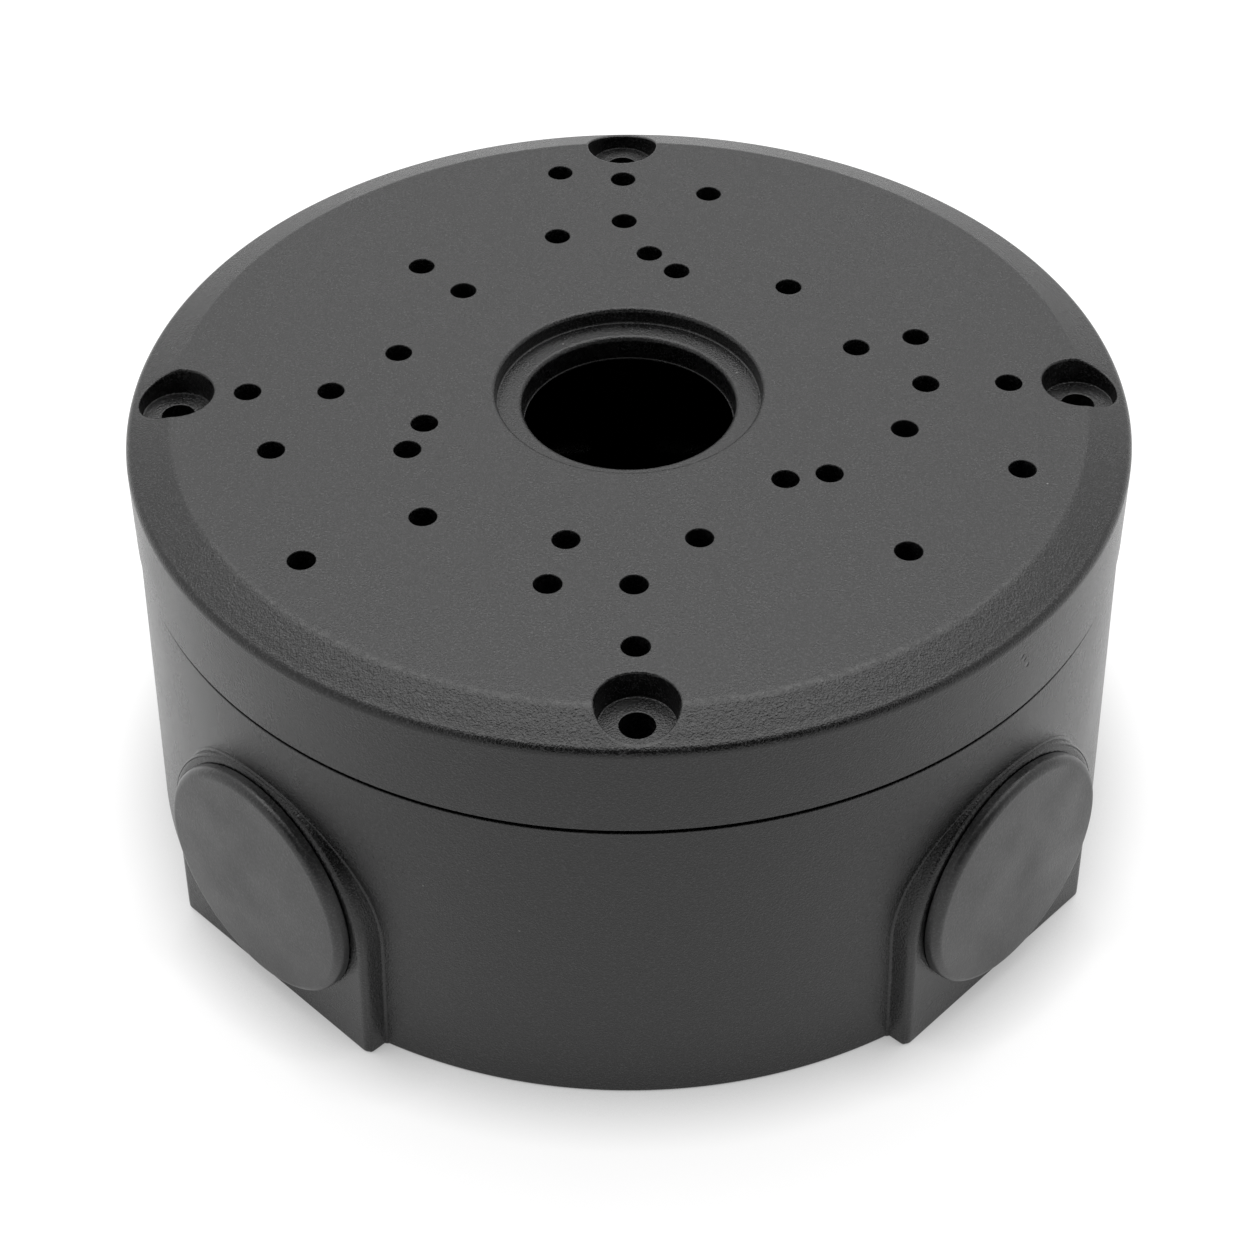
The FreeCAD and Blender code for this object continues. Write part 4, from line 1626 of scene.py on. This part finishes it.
@dataclass(frozen=True)
class SmallPart:
    """A part that keeps its CAD form, with its edges broken and its faces smoothed."""
    node: str
    finish: Finish
    edge: float = 0.12
    flat_deg: float = 1.0
    edge_deg: float = 40.0

    def build(self, material: bpy.types.Material) -> bpy.types.Object:
        """Make the dressed part from a merged copy of its CAD mesh.

        Args:
            material: its finish.

        Returns:
            The finished piece.
        """
        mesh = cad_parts[self.node].data.copy()
        form = bmesh.new()
        form.from_mesh(mesh)
        bmesh.ops.remove_doubles(form, verts=form.verts, dist=1e-6)
        flat = math.radians(self.flat_deg)
        bmesh.ops.dissolve_limit(form, angle_limit=flat, verts=form.verts, edges=form.edges)
        form.to_mesh(mesh)
        form.free()
        mesh.materials.clear()
        mesh.materials.append(material)
        piece = add_object(self.node + "_dressed", mesh)
        bevel = piece.modifiers.new("edges", "BEVEL")
        bevel.width = self.edge * MM
        bevel.segments = 2
        bevel.limit_method = "ANGLE"
        bevel.angle_limit = math.radians(self.edge_deg)
        settle(piece, evaluated_mesh(piece))
        hand_over(piece, self.finish, self.node)
        return piece


SMALL_PARTS = (
    SmallPart("cover_gasket", RUBBER),
    SmallPart("side_plug_seal_left", RUBBER),
    SmallPart("side_plug_seal_right", RUBBER),
    SmallPart("rear_grommet", RUBBER, 0.25),
    SmallPart("earth_screw", ZINC),
    SmallPart("earth_clamp_washer", ZINC),
    SmallPart("earth_spring_washer", ZINC),
)


# Studio

def seen_rays(build: NodeTree) -> bpy.types.NodeSocket:
    """One where a ray shows the background: from the camera, or by gloss or glass.

    Args:
        build: the node tree that the nodes go into.

    Returns:
        The socket that holds 1 or 0.
    """
    rays = build.node("ShaderNodeLightPath").outputs
    shown = rays["Is Camera Ray"]
    for kind in ("Is Glossy Ray", "Is Transmission Ray"):
        shown = build.node("ShaderNodeMath", {0: shown, 1: rays[kind]}, operation="MAXIMUM").outputs[0]
    return shown


def card_mesh(name: str, left: float, right: float, half_height: float) -> bpy.types.Mesh:
    """Make a flat card in metres.

    Args:
        name: the mesh's name.
        left: place of its left edge.
        right: place of its right edge.
        half_height: how far its other edges lie from its middle.

    Returns:
        The new mesh.
    """
    corners = [(left, -half_height), (right, -half_height), (right, half_height), (left, half_height)]
    mesh = bpy.data.meshes.new(name)
    mesh.from_pydata([(x, y, 0.0) for x, y in corners], [], [(0, 1, 2, 3)])
    return mesh


@dataclass
class Studio:
    """Pale floor, a soft lamp, an even pale surround and the camera of the photograph."""
    floor_size: float = 12.0
    floor_tone: float = 0.4
    floor_glow: float = 0.775
    # Reach, depth and tilt of the painted contact shadow on the floor's glow.
    painted_shadow_reach: float = 0.01
    contact_shade: float = 0.68
    painted_shadow_tilt: tuple[float, float] = (0.35, 0.94)
    surround: float = 0.55
    lamp_place: Point = (0.0, 0.50, 1.36)
    lamp_aim: Point = (0.0, 0.0, 0.04)
    lamp_size: tuple[float, float] = (1.62, 1.48)
    lamp_power: float = 16.5
    flag_place: Point = (0.0, -0.95, 0.9)
    flag_sides: tuple[float, float] = (-0.85, 1.6)
    flag_half_height: float = 0.62
    flag_tone: float = 0.02
    focal_px: float = 2579.56
    photo_px: float = 1254.0
    sensor: float = 36.0
    elevation: float = 0.740973
    distance: float = 351.31
    sideways: float = -0.36
    shift_up: float = -31.47
    rim_z: float = 61.9
    roll: float = -0.00403
    object_turn: float = -0.01329

    def floor(self) -> None:
        """Lay the floor that the box stands on."""
        half = self.floor_size / 2
        mesh = card_mesh("floor", -half, half, half)
        material, build, shader = new_material("floor")
        # Painted contact shadow: ambient occlusion, tilted towards the lamp, darkens the floor's glow near
        # the box.
        tilt_y, tilt_z = self.painted_shadow_tilt
        towards_lamp = build.node("ShaderNodeCombineXYZ", {"Y": tilt_y, "Z": tilt_z})
        painted_shadow = build.node(
            "ShaderNodeAmbientOcclusion",
            {"Distance": self.painted_shadow_reach, "Normal": towards_lamp.outputs[0]},
            samples=4)
        glow = build.node("ShaderNodeMapRange", {
            "Value": painted_shadow.outputs["AO"],
            "To Min": self.floor_glow * (1 - self.contact_shade),
            "To Max": self.floor_glow,
        })
        strength = build.node(
            "ShaderNodeMath",
            {0: seen_rays(build), 1: glow.outputs["Result"]},
            operation="MULTIPLY")
        build.fill(shader, {
            "Base Color": grey(self.floor_tone),
            "Roughness": 1.0,
            "Specular IOR Level": 0.0,
            "Emission Color": grey(1.0),
            "Emission Strength": strength.outputs[0],
        })
        material.cycles.emission_sampling = "NONE"
        mesh.materials.append(material)
        add_object("floor", mesh)

    def world(self) -> None:
        """Make the even surround, which rays that show the background see as white."""
        made = bpy.data.worlds.new("surround")
        made.use_nodes = True
        made.node_tree.nodes.clear()
        build = NodeTree(made.node_tree)
        strength = build.node("ShaderNodeMapRange", {
            "Value": seen_rays(build),
            "To Min": self.surround,
            "To Max": 1.0,
        })
        light = build.node("ShaderNodeBackground", {
            "Color": grey(1.0),
            "Strength": strength.outputs["Result"],
        })
        build.node("ShaderNodeOutputWorld", {"Surface": light.outputs[0]})
        made.cycles.sampling_method = "NONE"
        bpy.context.scene.world = made

    def lamp(self) -> None:
        """Hang the soft lamp above and behind the box."""
        data = bpy.data.lights.new("overhead softbox", "AREA")
        data.shape = "RECTANGLE"
        data.size, data.size_y = self.lamp_size
        data.energy = self.lamp_power
        lamp = bpy.data.objects.new("overhead softbox", data)
        lamp.location = self.lamp_place
        lamp.rotation_mode = "QUATERNION"
        aim = Vector(self.lamp_aim) - Vector(self.lamp_place)
        lamp.rotation_quaternion = aim.to_track_quat("-Z", "Y")
        bpy.context.scene.collection.objects.link(lamp)

    def flag(self) -> None:
        """Stand a dark card by the camera, which keeps the edges that face it dark."""
        mesh = card_mesh("flag", *self.flag_sides, self.flag_half_height)
        place = Vector(self.flag_place)
        lean = (-place).to_track_quat("-Z", "Y").to_matrix().to_4x4()
        mesh.transform(Matrix.Translation(place) @ lean)
        material, build, shader = new_material("flag")
        build.fill(shader, {"Base Color": grey(self.flag_tone), "Roughness": 1.0})
        mesh.materials.append(material)
        card = add_object("flag", mesh)
        card.visible_camera = False
        card.visible_shadow = False

    def camera(self) -> None:
        """Set up the camera at the photograph's place."""
        data = bpy.data.cameras.new("camera")
        data.sensor_width = self.sensor
        data.lens = self.focal_px * self.sensor / self.photo_px
        data.clip_start, data.clip_end = 0.01, 50.0
        turn = Matrix.Rotation(self.object_turn, 3, "Z")
        back = Vector((0.0, -math.cos(self.elevation), math.sin(self.elevation)))
        right = Vector((1.0, 0.0, 0.0))
        up = back.cross(right)
        place = back * self.distance + right * self.sideways + up * self.shift_up
        place += Vector((0.0, 0.0, self.rim_z))
        level_right = right * math.cos(self.roll) + up * math.sin(self.roll)
        level_up = up * math.cos(self.roll) - right * math.sin(self.roll)
        axes = Matrix((turn @ level_right, turn @ level_up, turn @ back)).transposed()
        camera = bpy.data.objects.new("camera", data)
        camera.matrix_world = Matrix.Translation(turn @ place * MM) @ axes.to_4x4()
        bpy.context.scene.collection.objects.link(camera)
        bpy.context.scene.camera = camera

    def build(self) -> None:
        """Set the whole studio up."""
        bpy.context.scene.view_settings.view_transform = "Standard"
        self.floor()
        self.world()
        self.lamp()
        self.flag()
        self.camera()


def main() -> None:
    """Build the studio and every dressed piece, in order."""
    logging.basicConfig(level=logging.INFO)
    Studio().build()
    coat = coat_group()
    materials = {finish.slot: finish.material(coat) for finish in (COAT, PLASTIC, RUBBER, ZINC)}
    CoverPlate().build(materials[COAT.slot])
    BaseHousing().build(materials[COAT.slot])
    for place in ENTRIES:
        SidePlug().build(place, materials[PLASTIC.slot])
    for part in SMALL_PARTS:
        part.build(materials[part.finish.slot])


if __name__ == "__main__":
    main()
